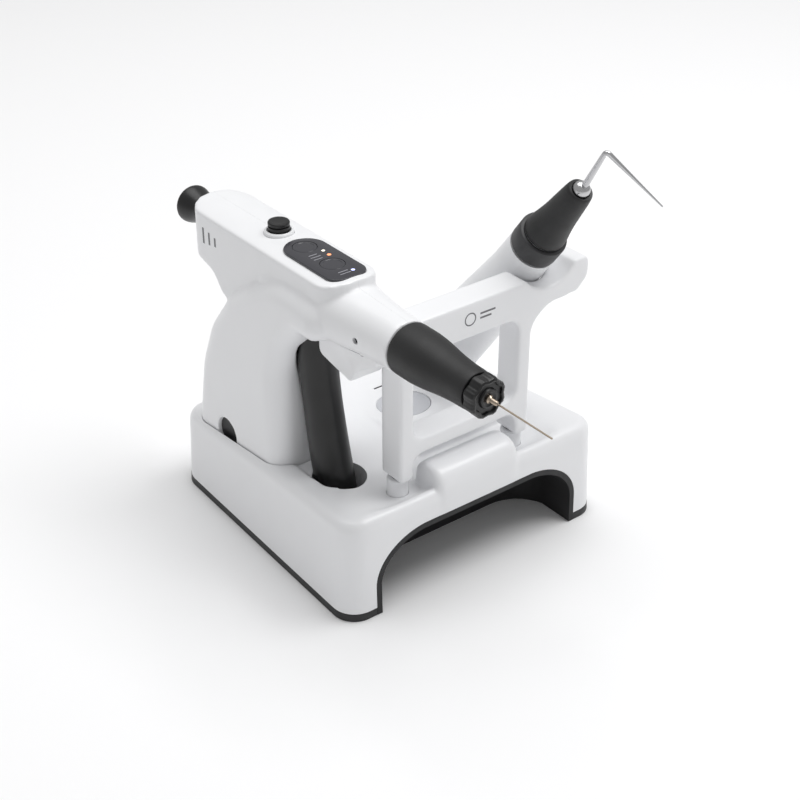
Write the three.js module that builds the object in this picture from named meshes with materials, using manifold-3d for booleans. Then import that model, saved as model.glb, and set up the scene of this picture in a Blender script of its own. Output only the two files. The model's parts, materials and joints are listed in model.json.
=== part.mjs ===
// A cordless root-canal obturation set: a backfill gun and a heated-plugger pen on a charging base.
// Millimetres. +X is the user's right, +Y is the back, +Z is up.
// The origin is the middle of the base's underside.
import * as THREE from "three";
import { mergeVertices } from "three/addons/utils/BufferGeometryUtils.js";
import Module from "manifold-3d";

const wasm = await Module();
wasm.setup();

// ---- Driving dimensions ---------------------------------------------------------------------

const gap = 0.3; // between two pieces that touch
const slack = 0.5; // round a piece dropped into its pocket

const base = {
  width: 123.2,
  depth: 123,
  backInset: 4.2, // how much narrower each side is at the back
  frontHeight: 42,
  backHeight: 33,
  frontCorner: 9.2,
  backCorner: 11,
  edgeRound: 4.5,
  draft: 1.4, // how far each wall leans in from foot to top
  wall: 2.6,
};
const cover = { thickness: 3, postRadius: 3, postHeight: 4, postInset: 5 };
const foot = { radius: 5, inset: 9, recess: 1.6 };
const arch = { halfWidth: 46.1, height: 28.5, flatHalf: 24, springHeight: 12, depth: 28, wall: 2.2 };
const bay = {
  floor: 36.8,
  left: 9.8, // from the gun's plane to the bay's left and right edges
  right: 33.7,
  front: 33.5,
  back: 52,
  round: 5,
};
const frontBay = { side: 7, front: 9.4, back: 8.7, round: 5 };
const hump = { halfWidth: 19, height: 48.3, front: 0.6, back: 16.5, round: 3, root: 6, wall: 3 };
const disc = { radius: 10.9, y: 0.8, thickness: 1.2, margin: 2.4 };
const slit = { length: 5.1, width: 1, y: 18.7, depth: 1, offset: 1 };
const board = { halfWidth: 44, front: -16, back: 50, thickness: 1.6 };
const ballast = { halfWidth: 30, front: -8, back: 40, thickness: 3 };
const contact = { halfWidth: 4, halfDepth: 3, y: 33, depth: 1.4, proud: 0.2 };
const inlet = { x: 0, radius: 3.2, bore: 1.6, floor: 3, length: 9, height: 14, boss: 7 };

const rack = {
  fromGun: 11, // from the gun's plane to the left upright
  fromPen: 10.8, // from the pen's plane to the right upright
  y: -45.7,
  thickness: 12,
  upright: 6,
  seam: 43.9,
  lowerBeam: 54,
  lowerDepth: 6,
  beam: 94,
  top: 108,
  round: 2.2,
  armReach: 19.5, // from the pen's plane to the arm's tip
  armUnder: 95.5,
  armTop: 109.6,
  dishRadius: 14,
  dishFloor: 102.5,
};
const peg = { radius: 1.8, socketRadius: 4, socketFoot: 33, floor: 2, length: 26 };

const gun = {
  inset: 23.4, // from the base's side to the gun's plane
  rear: 61.5, // from the base's back to the gun's own origin
  axis: 110, // height of the barrel's axis
  blockHalf: 12,
  blockFront: -37.5,
  blockRear: 54,
  blockTop: 124,
  blockRound: 9.5,
  handleHalf: 16.5,
  handleRound: 7,
  handleFront: -9,
  handleRear: 51.5,
  handleFoot: 14,
  bulgeFront: -38.8,
  barrelRadius: 11.6,
  muzzleRadius: 9.7,
  muzzle: -66,
};
const grip = { radius: 7.6, foot: 25.5, pocketRadius: 10.3, pocketFloor: 22.5, top: 95 };
const nose = { length: 35, rearRadius: 9.4, frontRadius: 6.8, bore: 5.6 };
const heater = { radius: 4.6, root: 6, end: 2, bore: 6 };
const nut = { radius: 7.3, length: 6, bore: 3.1, waves: 8, waveDepth: 0.5 };
const needle = { radius: 0.35, length: 28.6, hubRadius: 1.5, hubLength: 3.4 };
const plunger = {
  axis: 113.6,
  rodRadius: 2,
  discRadius: 7.4,
  neckRadius: 5.2,
  neck: 56,
  length: 13.6,
  socket: 8,
  travel: 40,
  pistonRadius: 1.1,
  pistonEnd: 12, // behind the front of the nose
};
const carriage = { half: 3, rise: 3, front: -11, back: -6, grip: 1 };
const trigger = {
  half: 7,
  rear: -23.5,
  top: 99.5,
  pinY: -50.5,
  pinZ: 104,
  pinRadius: 1.5,
  pinHalf: 8.2,
  rise: 5.6, // above its top that it needs when pulled
  swing: 2, // of its rear end to the back when pulled
  clearance: 0.8,
  slotFront: -46,
  slotFoot: 92,
};
const panel = { half: 8, front: -38, rear: 0, thickness: 1.2, proud: 0.25 };
const key = { radius: 4.4, stem: 2.4, places: [-7, -23.7], sink: 0.66, proud: 0.15 };
const topButton = { y: 9, radius: 4, collarRadius: 5.5, collarHeight: 1, cap: 3, stem: 2.2, root: 4 };
const battery = { radius: 9.1, length: 62, y: 21, foot: 24 };
const motor = { radius: 6, length: 26, y: 24, axis: 96.4 };
const gunBoard = { foot: 118, thickness: 3, half: 7, front: -36, back: -3 };
const gunContact = { half: 5, front: 29, back: 37, thickness: 1.5, lift: 0.1 };
const notch = { radius: 6, y: 26, z: 36, depth: 3 };
const pinion = { radius: 2.8, half: 1.5, y: 40 };

const pen = {
  inset: 23.6,
  noseY: -47.5,
  noseZ: 122.6,
  lean: Math.atan2(0.6, 0.8), // forward from upright
  length: 125,
  neckRadius: 9.2,
  bodyRadius: 12.5,
  ringRadius: 9.3,
  ringLength: 9.6,
  ringTravel: 0.6,
  coneLength: 28,
  seam: 88, // from the ring to the tail cap
  hubRadius: 7.4,
};
const penBattery = { radius: 9, length: 50, foot: -112 };
const penBoard = { half: 6, halfThickness: 1.2, foot: -60, top: -24.6, slotTop: -16 };
const penCore = { radius: 3.4, foot: -24, end: 6 };
const dome = { radius: 3.3, sink: 4 };
const plugger = {
  shankLength: 17.6,
  shankRadius: 1.2,
  tipLength: 28,
  tipRadius: 0.3,
  rootRadius: 0.9,
  collar: 3, // from the end of the cone
};
const far = 200; // beyond every piece
const sky = 60; // above the base

// ---- Sizes that follow from them ------------------------------------------------------------

const slope = (base.frontHeight - base.backHeight) / base.depth;
const topAt = (y) => base.frontHeight - slope * (y + base.depth / 2);
const gunX = -(base.width / 2 - gun.inset);
const gunY = base.depth / 2 - gun.rear;
const penX = base.width / 2 - pen.inset;
const rackY = rack.y + gunY;
const rackLeft = gunX + rack.fromGun;
const rackRight = penX - rack.fromPen;
const pegX = [rackLeft, rackRight];
const handlePocket = gun.handleHalf + slack;
const penPocket = pen.bodyRadius + slack;
const discX = penX - penPocket - disc.margin - disc.radius;
const frontY = -base.depth / 2;
const slitY = gunY + slit.y;
const muzzleY = gun.muzzle;
const noseEnd = muzzleY - nose.length;
const gearZ = plunger.axis - plunger.rodRadius - gap - pinion.radius;

// ---- Finishes -------------------------------------------------------------------------------

const finish = (color, roughness, metalness = 0) =>
  new THREE.MeshStandardMaterial({ color, roughness, metalness });
const white = finish(0xf2f2f4, 0.38);
const grey = finish(0xc4c5ca, 0.45);
const black = finish(0x2a2a2c, 0.55);
const rubber = finish(0x38383a, 0.8);
const gloss = finish(0x303033, 0.15);
const steel = finish(0xb8bac0, 0.28, 1);
const brass = finish(0xc29a55, 0.3, 1);
const green = finish(0x1f5a3c, 0.5);

// ---- Solids ---------------------------------------------------------------------------------

// A closed geometry as a solid with its faces turned out.
function solid(geometry) {
  const bare = geometry.clone();
  bare.deleteAttribute("normal");
  bare.deleteAttribute("uv");
  const merged = mergeVertices(bare, 1e-4);
  const place = merged.attributes.position;
  const corner = (i) => new THREE.Vector3().fromBufferAttribute(place, i);
  const faces = [];
  let volume = 0;
  for (let i = 0; i < merged.index.count; i += 3) {
    const [a, b, c] = [0, 1, 2].map((k) => merged.index.getX(i + k));
    if (a === b || b === c || c === a) continue;
    faces.push([a, b, c]);
    volume += corner(a).dot(corner(b).cross(corner(c)));
  }
  const out = volume < 0 ? faces.map(([a, b, c]) => [a, c, b]) : faces;
  return new wasm.Manifold(
    new wasm.Mesh({
      numProp: 3,
      vertProperties: place.array,
      triVerts: new Uint32Array(out.flat()),
    }),
  );
}

// A solid as a geometry for a mesh.
function geometryOf(shape) {
  const made = shape.getMesh();
  const points = new Float32Array(made.numVert * 3);
  for (let i = 0; i < made.numVert; i += 1) {
    points.set(made.vertProperties.subarray(i * made.numProp, i * made.numProp + 3), i * 3);
  }
  const geometry = new THREE.BufferGeometry();
  geometry.setAttribute("position", new THREE.BufferAttribute(points, 3));
  geometry.setIndex(new THREE.BufferAttribute(new Uint32Array(made.triVerts), 1));
  geometry.computeVertexNormals();
  return geometry;
}

const join = (...shapes) => shapes.reduce((sum, next) => sum.add(next));
const cut = (shape, ...tools) => tools.reduce((rest, tool) => rest.subtract(tool), shape);

// A flat outline through corners [x, y, radius], each rounded by an arc.
function outline(corners) {
  const shape = new THREE.Shape();
  corners.forEach(([x, y, radius = 0], i) => {
    const here = new THREE.Vector2(x, y);
    const last = corners.at(i - 1);
    const next = corners[(i + 1) % corners.length];
    const back = new THREE.Vector2(last[0], last[1]).sub(here);
    const on = new THREE.Vector2(next[0], next[1]).sub(here);
    const turn = Math.acos(back.dot(on) / back.length() / on.length());
    const reach = radius / Math.tan(turn / 2);
    const start = here.clone().addScaledVector(back.normalize(), reach);
    const end = here.clone().addScaledVector(on.normalize(), reach);
    if (i === 0) shape.moveTo(start.x, start.y);
    else shape.lineTo(start.x, start.y);
    if (radius === 0) return;
    const side = Math.sign(on.cross(back)) || 1;
    const middle = start.clone().add(new THREE.Vector2(back.y, -back.x).multiplyScalar(radius * side));
    const from = Math.atan2(start.y - middle.y, start.x - middle.x);
    const to = Math.atan2(end.y - middle.y, end.x - middle.x);
    shape.absarc(middle.x, middle.y, radius, from, to, side < 0);
  });
  return shape;
}

const rounded = (x0, y0, x1, y1, r) =>
  outline([
    [x0, y0, r],
    [x1, y0, r],
    [x1, y1, r],
    [x0, y1, r],
  ]);

// An outline given depth, with its edges rounded inside that outline.
function extruded(shape, depth, round = 0, curve = 2) {
  return new THREE.ExtrudeGeometry(shape, {
    depth: depth - 2 * round,
    curveSegments: curve,
    bevelEnabled: round > 0,
    bevelSize: round,
    bevelThickness: round,
    bevelOffset: -round,
    bevelSegments: round > 3 ? 2 : 1,
  }).translate(0, 0, round);
}

const axes = (x, y, z) => new THREE.Matrix4().makeBasis(x, y, z);
const X = new THREE.Vector3(1, 0, 0);
const Y = new THREE.Vector3(0, 1, 0);
const Z = new THREE.Vector3(0, 0, 1);

// The outline lies in X and Y and rises from z0 to z1.
const upright = (shape, z0, z1, round, curve) =>
  solid(extruded(shape, z1 - z0, round, curve).translate(0, 0, z0));

// The outline lies in Y and Z and runs from x0 to x1.
const sideways = (shape, x0, x1, round, curve) =>
  solid(extruded(shape, x1 - x0, round, curve).applyMatrix4(axes(Y, Z, X)).translate(x0, 0, 0));

// The outline lies in X and Z and runs from y0 back to y1.
const lengthways = (shape, y0, y1, round, curve) =>
  solid(
    extruded(shape, y1 - y0, round, curve)
      .applyMatrix4(axes(X, Z, Y.clone().negate()))
      .translate(0, y1, 0),
  );

const block = (x0, x1, y0, y1, z0, z1) =>
  solid(
    new THREE.BoxGeometry(x1 - x0, y1 - y0, z1 - z0).translate(
      (x0 + x1) / 2,
      (y0 + y1) / 2,
      (z0 + z1) / 2,
    ),
  );

// A profile of [distance, radius] pairs turned about an axis from a point.
function turned(profile, from, direction, sides = 20) {
  const points = profile.map(([along, radius]) => new THREE.Vector2(radius, along));
  const first = profile[0];
  const last = profile.at(-1);
  if (first[1] > 0) points.unshift(new THREE.Vector2(0, first[0]));
  if (last[1] > 0) points.push(new THREE.Vector2(0, last[0]));
  const geometry = new THREE.LatheGeometry(points, sides);
  geometry.applyQuaternion(new THREE.Quaternion().setFromUnitVectors(Y, direction.clone().normalize()));
  return solid(geometry.translate(from.x, from.y, from.z));
}

const rod = (from, to, radius, sides = 16) => {
  const way = to.clone().sub(from);
  const length = way.length();
  return turned([[0, radius], [length, radius]], from, way, sides);
};

const at = (x, y, z) => new THREE.Vector3(x, y, z);

// An endless slab between two heights, and a round well that is open at the top.
const slab = (z0, z1) => block(-far, far, -far, far, z0, z1);
const well = (x, y, radius, floor) => turned([[floor, radius], [sky, radius]], at(x, y, 0), Z);

const moved = (shape, x, y, z = 0) => solid(geometryOf(shape).translate(x, y, z));

function piece(parent, name, shape, material) {
  const mesh = new THREE.Mesh(geometryOf(shape), material);
  mesh.name = name;
  parent.add(mesh);
}

// ---- Gun shapes, about the gun's own plane x = 0 --------------------------------------------

const handleShape = () =>
  outline([
    [gun.handleFront, gun.handleFoot, 8],
    [gun.handleRear, gun.handleFoot, 8],
    [gun.handleRear, 40, 12],
    [45.6, 62, 20],
    [38.8, 80, 12],
    [25.5, 96.5, 9],
    [13, 107, 14],
    [-6, 117.5, 20],
    [gun.bulgeFront, 117.5, 7.4],
    [gun.bulgeFront, 102, 7.4],
    [-22, 99.5, 6],
    [-11, 88, 8],
    [-7, 78, 12],
    [-8, 55, 20],
  ]);

const chinShape = () =>
  outline([
    [gun.blockFront - 1, 103, 0],
    [10, 97, 0],
    [32, 94, 5],
    [38, 101.5, 6],
    [gun.blockRear + 1, 105.5, 0],
    [gun.blockRear + 1, gun.blockTop + 1, 0],
    [gun.blockFront - 1, gun.blockTop + 1, 0],
  ]);

function gunBody() {
  const plan = rounded(-gun.blockHalf, gun.blockFront, gun.blockHalf, gun.blockRear, gun.blockRound);
  const upper = upright(plan, 90, gun.blockTop, 1.8).intersect(
    sideways(chinShape(), -gun.blockHalf - 1, gun.blockHalf + 1),
  );
  const handle = sideways(handleShape(), -gun.handleHalf, gun.handleHalf, gun.handleRound);
  const barrel = turned(
    [
      [0, 9],
      [8, gun.barrelRadius],
      [26, gun.barrelRadius - 0.2],
      [38, gun.barrelRadius - 1],
      [gun.muzzle * -1 - 20, gun.muzzleRadius],
    ],
    at(0, -20, gun.axis),
    at(0, -1, 0),
  );
  return join(upper, handle, barrel);
}

// The front grip's middle line from its foot in the base to its root under the body.
const gripLine = () =>
  new THREE.CatmullRomCurve3([
    at(0, -23.4, grip.foot),
    at(0, -21.9, 34),
    at(0, -19, 45),
    at(0, -16.6, 57),
    at(0, -14.6, 70),
    at(0, -12.9, 82),
    at(0, -12, grip.top),
  ]);

function gripTube(radius) {
  const ring = new THREE.Shape().absarc(0, 0, radius, 0, 2 * Math.PI);
  return solid(
    new THREE.ExtrudeGeometry(ring, {
      steps: 9,
      curveSegments: 7,
      extrudePath: gripLine(),
      bevelEnabled: false,
    }),
  );
}

const triggerShape = (grow) =>
  outline([
    [trigger.rear + grow, 92.5, 2.5],
    [-27, 88.6 - grow, 3],
    [-40, 87.8 - grow, 3],
    [-49, 94.6 - grow, 5],
    [-57.4 - grow, 100.6 - grow, 3],
    [-57.4 - grow, 106.4 + grow, 2.5],
    [-46, 106.4 + grow, 3],
    [-37, trigger.top + grow, 3],
    [trigger.rear + grow, trigger.top + grow, 2.5],
  ]);

// ---- Pen shapes, along the pen's own axis +Z from the front of its ring ---------------------

const penProfile = (grow) => [
  [-pen.ringLength - gap, pen.neckRadius + grow],
  [-26, pen.neckRadius + 0.3 + grow],
  [-36, 10.3 + grow],
  [-48, 11.3 + grow],
  [-60, pen.bodyRadius - 0.3 + grow],
  [-pen.seam, pen.bodyRadius + grow],
  [-pen.length + 9, pen.bodyRadius - 0.3 + grow],
  [-pen.length + 3.5, pen.bodyRadius - 3 + grow],
  [-pen.length, pen.bodyRadius - 7.5 + grow],
];

const penGroup = new THREE.Group();
penGroup.position.set(penX, gunY + pen.noseY, pen.noseZ);
penGroup.rotation.x = pen.lean;
penGroup.updateMatrix();
const penInBase = (shape) => solid(geometryOf(shape).applyMatrix4(penGroup.matrix));
const penHull = (grow) => turned(penProfile(grow).reverse(), at(0, 0, 0), Z, 24);

// ---- The base -------------------------------------------------------------------------------

function baseBlock(inset) {
  const half = base.depth / 2 - inset;
  const front = base.width / 2 - inset;
  const back = front - base.backInset;
  const plan = outline([
    [-front, -half, base.frontCorner - inset],
    [front, -half, base.frontCorner - inset],
    [back, half, base.backCorner - inset],
    [-back, half, base.backCorner - inset],
  ]);
  const height = base.frontHeight - inset;
  const round = Math.max(base.edgeRound - inset, 1);
  const geometry = extruded(plan, height + 2 * round, round).translate(0, 0, -2 * round);
  const place = geometry.attributes.position;
  for (let i = 0; i < place.count; i += 1) {
    const rise = Math.max(place.getZ(i) / height, 0);
    const [x, y] = [place.getX(i), place.getY(i)];
    place.setX(i, x * (1 - (rise * base.draft) / front));
    place.setY(i, y * (1 - (rise * base.draft) / half));
    place.setZ(i, place.getZ(i) - rise * slope * (y + base.depth / 2));
  }
  return solid(geometry);
}

// The hollow under the front edge where fingers reach in, grown by a wall.
function scoop(grow) {
  const half = arch.halfWidth + grow;
  const top = arch.height + grow;
  const mouth = new THREE.Shape();
  mouth.moveTo(-half, -1);
  mouth.lineTo(-half, arch.springHeight);
  const [bend, rise] = [half - arch.flatHalf, top - arch.springHeight];
  mouth.absellipse(-arch.flatHalf, arch.springHeight, bend, rise, Math.PI, Math.PI / 2, true);
  mouth.absellipse(arch.flatHalf, arch.springHeight, bend, rise, Math.PI / 2, 0, true);
  mouth.lineTo(half, -1);
  const back = new THREE.Shape();
  const reach = arch.depth + grow;
  back.moveTo(frontY - 2, -1);
  back.lineTo(frontY + reach, -1);
  back.lineTo(frontY + reach, 0);
  back.absellipse(frontY, 0, reach, top, 0, Math.PI / 2, false);
  back.lineTo(frontY - 2, top);
  const plan = rounded(-half - 1, frontY - 40, half + 1, frontY + reach, 18);
  return lengthways(mouth, frontY - 2, frontY + reach + 1, 0, 5)
    .intersect(sideways(back, -half, half, 0, 5))
    .intersect(upright(plan, -1, top + 1, 0, 3));
}

const handlePocketPlan = (grow) =>
  rounded(
    gunX - handlePocket - grow,
    gunY + gun.handleFront - slack - grow,
    gunX + handlePocket + grow,
    gunY + gun.handleRear + slack + grow,
    gun.handleRound + slack + grow,
  );

const gripFoot = gripLine().getPoint(0);
const gripPocketY = gunY + gripFoot.y - 1.3;
const gripPocket = (grow, floor) => well(gunX, gripPocketY, grip.pocketRadius + grow, floor);

// The pen lifts straight up, so its pocket is as wide as everything of it below the base's top.
const penTail = at(0, 0, -pen.length + pen.bodyRadius).applyMatrix4(penGroup.matrix);
const [leanSin, leanCos] = [Math.sin(pen.lean), Math.cos(pen.lean)];
const penLowest = Math.min(...penProfile(0).map(([s, r]) => pen.noseZ + s * leanCos - r * leanSin));
const penRearmost = Math.max(...penProfile(0).map(([s, r]) => pen.noseY - s * leanSin + r * leanCos));
const penFloor = penLowest - gap;
const penPocketFront =
  gunY + pen.noseY + (pen.noseZ - topAt(gunY)) * Math.tan(pen.lean) - pen.bodyRadius / leanCos - 2 * slack;
const penPocketBack = gunY + penRearmost + slack + gap;
const penPocketPlan = (grow) =>
  rounded(penX - penPocket - grow, penPocketFront - grow, penX + penPocket + grow, penPocketBack + grow, 11);

const handleFloor = gun.handleFoot - slack;

function humpSolid() {
  const profile = new THREE.Shape();
  const y0 = frontY + hump.front;
  const y1 = frontY + hump.back;
  const middle = (y0 + y1) / 2;
  const root = bay.floor - hump.root;
  const spring = bay.floor + hump.wall;
  profile.moveTo(y0, root);
  profile.lineTo(y1, root);
  profile.lineTo(y1, spring);
  profile.absellipse(middle, spring, y1 - middle, hump.height - spring, 0, Math.PI, false);
  return sideways(profile, -hump.halfWidth, hump.halfWidth, hump.round, 5);
}

// A charging contact sunk in a pocket's floor, grown by a clearance.
function contactBlock(x, y, low, high, grow) {
  const [across, along] = [contact.halfWidth + grow, contact.halfDepth + grow];
  return block(x - across, x + across, y - along, y + along, low, high);
}
const contactRecess = (x, y, floor) => contactBlock(x, y, floor - contact.depth, floor + 1, gap);
const contactPlate = (x, y, floor) =>
  contactBlock(x, y, floor - contact.depth + gap, floor + contact.proud, 0);

function baseShell() {
  const outer = baseBlock(0);
  const bayCut = join(
    upright(
      rounded(gunX - bay.left, gunY - bay.front, gunX + bay.right, gunY + bay.back, bay.round),
      bay.floor,
      sky,
    ),
    upright(
      rounded(
        rackLeft - frontBay.side,
        rackY - frontBay.front,
        rackRight + frontBay.side,
        rackY + frontBay.back,
        frontBay.round,
      ),
      bay.floor,
      sky,
    ),
  );
  const wall = base.wall;
  const deck = rounded(
    gunX - bay.left - wall,
    frontY,
    rackRight + frontBay.side + wall,
    gunY + bay.back + wall,
    wall - gap,
  );
  const cups = join(
    upright(handlePocketPlan(wall), handleFloor - wall, sky),
    gripPocket(wall, grip.pocketFloor - wall),
    upright(penPocketPlan(wall), penFloor - wall, sky),
    scoop(arch.wall + gap + wall),
    upright(deck, bay.floor - wall, sky),
    rod(
      at(inlet.x, base.depth / 2 - inlet.length - gap, inlet.height),
      at(inlet.x, base.depth / 2, inlet.height),
      inlet.boss,
    ),
  );
  const discFloor = topAt(gunY + disc.y) - disc.thickness;
  const slitMiddle = discX + slit.offset;
  return cut(
    join(cut(outer, bayCut), humpSolid()),
    cut(baseBlock(wall), cups),
    slab(-far, cover.thickness + gap),
    upright(handlePocketPlan(0), handleFloor, sky),
    gripPocket(0, grip.pocketFloor),
    upright(penPocketPlan(0), penFloor, sky),
    scoop(arch.wall + gap),
    contactRecess(gunX, gunY + contact.y, handleFloor),
    contactRecess(penX, penTail.y, penFloor),
    well(gunX, gunY + gripFoot.y + 2, grip.radius + slack, grip.pocketFloor),
    well(discX, gunY + disc.y, disc.radius + gap, discFloor),
    block(
      slitMiddle - slit.length / 2,
      slitMiddle + slit.length / 2,
      slitY - slit.width / 2,
      slitY + slit.width / 2,
      topAt(slitY) - slit.depth,
      sky,
    ),
    ...pegX.map((x) => well(x, rackY, peg.socketRadius + gap, peg.socketFoot)),
    rod(
      at(inlet.x, base.depth / 2 - inlet.length, inlet.height),
      at(inlet.x, base.depth, inlet.height),
      inlet.radius + gap,
    ),
  );
}

function bottomCover() {
  const plate = baseBlock(0).intersect(slab(0, cover.thickness));
  const postTop = cover.thickness + cover.postHeight;
  const posts = coverPosts.map(([x, y]) => rod(at(x, y, 1), at(x, y, postTop), cover.postRadius, 16));
  return cut(
    join(plate, ...posts),
    scoop(arch.wall + gap),
    ...footPlaces.map(([x, y]) => rod(at(x, y, -1), at(x, y, foot.recess + gap), foot.radius + gap)),
  );
}

const footPlaces = [
  [-base.width / 2 + foot.inset - 2, frontY + foot.inset],
  [base.width / 2 - foot.inset + 2, frontY + foot.inset],
  [base.width / 2 - base.backInset - foot.inset, base.depth / 2 - foot.inset],
  [-base.width / 2 + base.backInset + foot.inset, base.depth / 2 - foot.inset],
];
const coverPosts = [-1, 1].flatMap((side) =>
  [board.front + cover.postInset, board.back - cover.postInset].map((y) => [
    side * (board.halfWidth - cover.postInset),
    gunY + y,
  ]),
);
const boardZ = cover.thickness + cover.postHeight + gap;
const ballastZ = cover.thickness + gap;

const baseGroup = new THREE.Group();
piece(baseGroup, "base_shell", baseShell(), white);
piece(baseGroup, "bottom_cover", bottomCover(), black);
piece(
  baseGroup,
  "arch_liner",
  cut(scoop(arch.wall), scoop(0))
    .intersect(baseBlock(0))
    .intersect(slab(0, sky)),
  black,
);
const footNames = ["front_left", "front_right", "back_right", "back_left"];
footPlaces.forEach(([x, y], i) => {
  const pad = rod(at(x, y, 0), at(x, y, foot.recess), foot.radius);
  piece(baseGroup, `rubber_foot_${footNames[i]}`, pad, rubber);
});
piece(
  baseGroup,
  "centre_disc",
  turned(
    [
      [gap, disc.radius],
      [disc.thickness + gap, disc.radius],
    ],
    at(discX, gunY + disc.y, topAt(gunY + disc.y) - disc.thickness),
    Z,
  ),
  grey,
);
piece(
  baseGroup,
  "status_light",
  block(
    discX - slit.length / 2 + slit.offset + gap,
    discX + slit.length / 2 + slit.offset - gap,
    slitY - slit.width / 2 + gap / 2,
    slitY + slit.width / 2 - gap / 2,
    topAt(slitY) - slit.depth + gap,
    topAt(slitY) + 0.1,
  ),
  gloss,
);
piece(
  baseGroup,
  "charge_board",
  block(
    -board.halfWidth,
    board.halfWidth,
    gunY + board.front,
    gunY + board.back,
    boardZ,
    boardZ + board.thickness,
  ),
  green,
);
piece(
  baseGroup,
  "ballast_plate",
  block(
    -ballast.halfWidth,
    ballast.halfWidth,
    gunY + ballast.front,
    gunY + ballast.back,
    ballastZ,
    ballastZ + ballast.thickness,
  ),
  steel,
);
piece(
  baseGroup,
  "dc_inlet",
  cut(
    rod(
      at(inlet.x, base.depth / 2 - inlet.length + gap, inlet.height),
      at(inlet.x, base.depth / 2 - (base.draft * inlet.height) / base.backHeight, inlet.height),
      inlet.radius,
    ),
    rod(
      at(inlet.x, base.depth / 2 - inlet.length + inlet.floor, inlet.height),
      at(inlet.x, base.depth, inlet.height),
      inlet.bore,
    ),
  ),
  black,
);
piece(baseGroup, "gun_charge_contact", contactPlate(gunX, gunY + contact.y, handleFloor), brass);
piece(baseGroup, "pen_charge_contact", contactPlate(penX, penTail.y, penFloor), brass);

// ---- The rack -------------------------------------------------------------------------------

function rackFrame() {
  const left = rackLeft - rack.upright / 2;
  const right = rackRight + rack.upright / 2;
  const tip = penX + rack.armReach;
  const corner = rack.round + 0.3;
  const shape = outline([
    [left, rack.seam, corner],
    [left + rack.upright, rack.seam, corner],
    [left + rack.upright, rack.lowerBeam, 5],
    [right - rack.upright, rack.lowerBeam, 5],
    [right - rack.upright, rack.seam, corner],
    [right, rack.seam, corner],
    [right, rack.armUnder - 6, 9],
    [right + 8, rack.armUnder, 9],
    [tip - 5, rack.armUnder + 0.8, 4],
    [tip, rack.armUnder + 6, 4],
    [tip, rack.armTop, 2.5],
    [tip - 5, rack.armTop, 2.5],
    [penX - rack.dishRadius, rack.top, 6],
    [left, rack.top, 7],
  ]);
  shape.holes.push(
    rounded(
      left + rack.upright,
      rack.lowerBeam + rack.lowerDepth,
      right - rack.upright,
      rack.beam,
      5.5,
    ),
  );
  const frame = lengthways(shape, rackY - rack.thickness / 2, rackY + rack.thickness / 2, rack.round);
  return cut(
    frame,
    rod(
      at(penX, rackY - rack.thickness, rack.dishFloor + rack.dishRadius),
      at(penX, rackY + rack.thickness, rack.dishFloor + rack.dishRadius),
      rack.dishRadius,
      28,
    ),
    penInBase(penHull(gap)),
    moved(rod(at(0, -20, gun.axis), at(0, -80, gun.axis), gun.barrelRadius + 2 * gap, 24), gunX, gunY),
    ...pegX.map((x) =>
      rod(at(x, rackY, bay.floor), at(x, rackY, bay.floor + peg.length + gap), peg.radius + gap, 16),
    ),
  );
}

piece(baseGroup, "rack_frame", rackFrame(), white);
["left", "right"].forEach((side, i) => {
  const x = pegX[i];
  const socketFoot = peg.socketFoot + gap;
  piece(
    baseGroup,
    `rack_socket_${side}`,
    cut(
      rod(at(x, rackY, socketFoot), at(x, rackY, rack.seam - gap), peg.socketRadius, 24),
      rod(at(x, rackY, socketFoot + peg.floor), at(x, rackY, sky), peg.radius + gap, 16),
    ),
    white,
  );
  piece(
    baseGroup,
    `rack_peg_${side}`,
    rod(at(x, rackY, socketFoot + peg.floor + gap), at(x, rackY, bay.floor + peg.length), peg.radius, 16),
    steel,
  );
});

// ---- The gun --------------------------------------------------------------------------------

const gunGroup = new THREE.Group();
gunGroup.position.set(gunX, gunY, 0);

const along = (y0, y1, z, radius, sides) => rod(at(0, y0, z), at(0, y1, z), radius, sides);
const across = (half, y, z, radius, sides) => rod(at(-half, y, z), at(half, y, z), radius, sides);
const down = (y, z0, z1, radius, sides) => rod(at(0, y, z0), at(0, y, z1), radius, sides);

function mechanismCavities() {
  const play = slack - gap / 2;
  return [
    block(
      -carriage.half - slack,
      carriage.half + slack,
      carriage.front - 1,
      carriage.back + plunger.travel + 1,
      gun.axis - carriage.rise - play,
      plunger.axis + carriage.rise + play,
    ),
    along(carriage.back + plunger.travel, gun.blockRear + 20, plunger.axis, plunger.rodRadius + gap),
    along(0, muzzleY - 10, gun.axis, plunger.pistonRadius + gap, 16),
    block(
      -pinion.half - gap,
      pinion.half + gap,
      pinion.y - pinion.radius - slack,
      pinion.y + pinion.radius + slack,
      gearZ - pinion.radius - slack,
      plunger.axis,
    ),
    along(motor.y + gap, motor.y - motor.length - gap, motor.axis, motor.radius + gap),
  ];
}

function triggerCavities() {
  const half = trigger.half + slack;
  const roof = trigger.top + trigger.rise + trigger.clearance;
  return [
    sideways(triggerShape(trigger.clearance), -half, half),
    block(-half, half, trigger.slotFront, trigger.rear + trigger.swing, trigger.slotFoot, roof),
    across(trigger.pinHalf * 4, trigger.pinY, trigger.pinZ, trigger.pinRadius + gap, 16),
  ];
}

function controlCavities() {
  return [
    upright(panelPlan(gap), gun.blockTop - panel.thickness, gun.blockTop + 5),
    block(
      -gunBoard.half,
      gunBoard.half,
      gunBoard.front,
      gunBoard.back,
      gunBoard.foot,
      gunBoard.foot + gunBoard.thickness,
    ),
    down(topButton.y, gun.blockTop - topButton.root - 2, gun.blockTop + 6, topButton.stem + gap, 16),
    down(topButton.y, gun.blockTop - 1, gun.blockTop + 6, topButton.collarRadius + gap, 28),
    ...key.places.map((y) => down(y, gunBoard.foot + 2, gun.blockTop + 5, key.radius - key.stem + 0.4, 16)),
  ];
}

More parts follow.
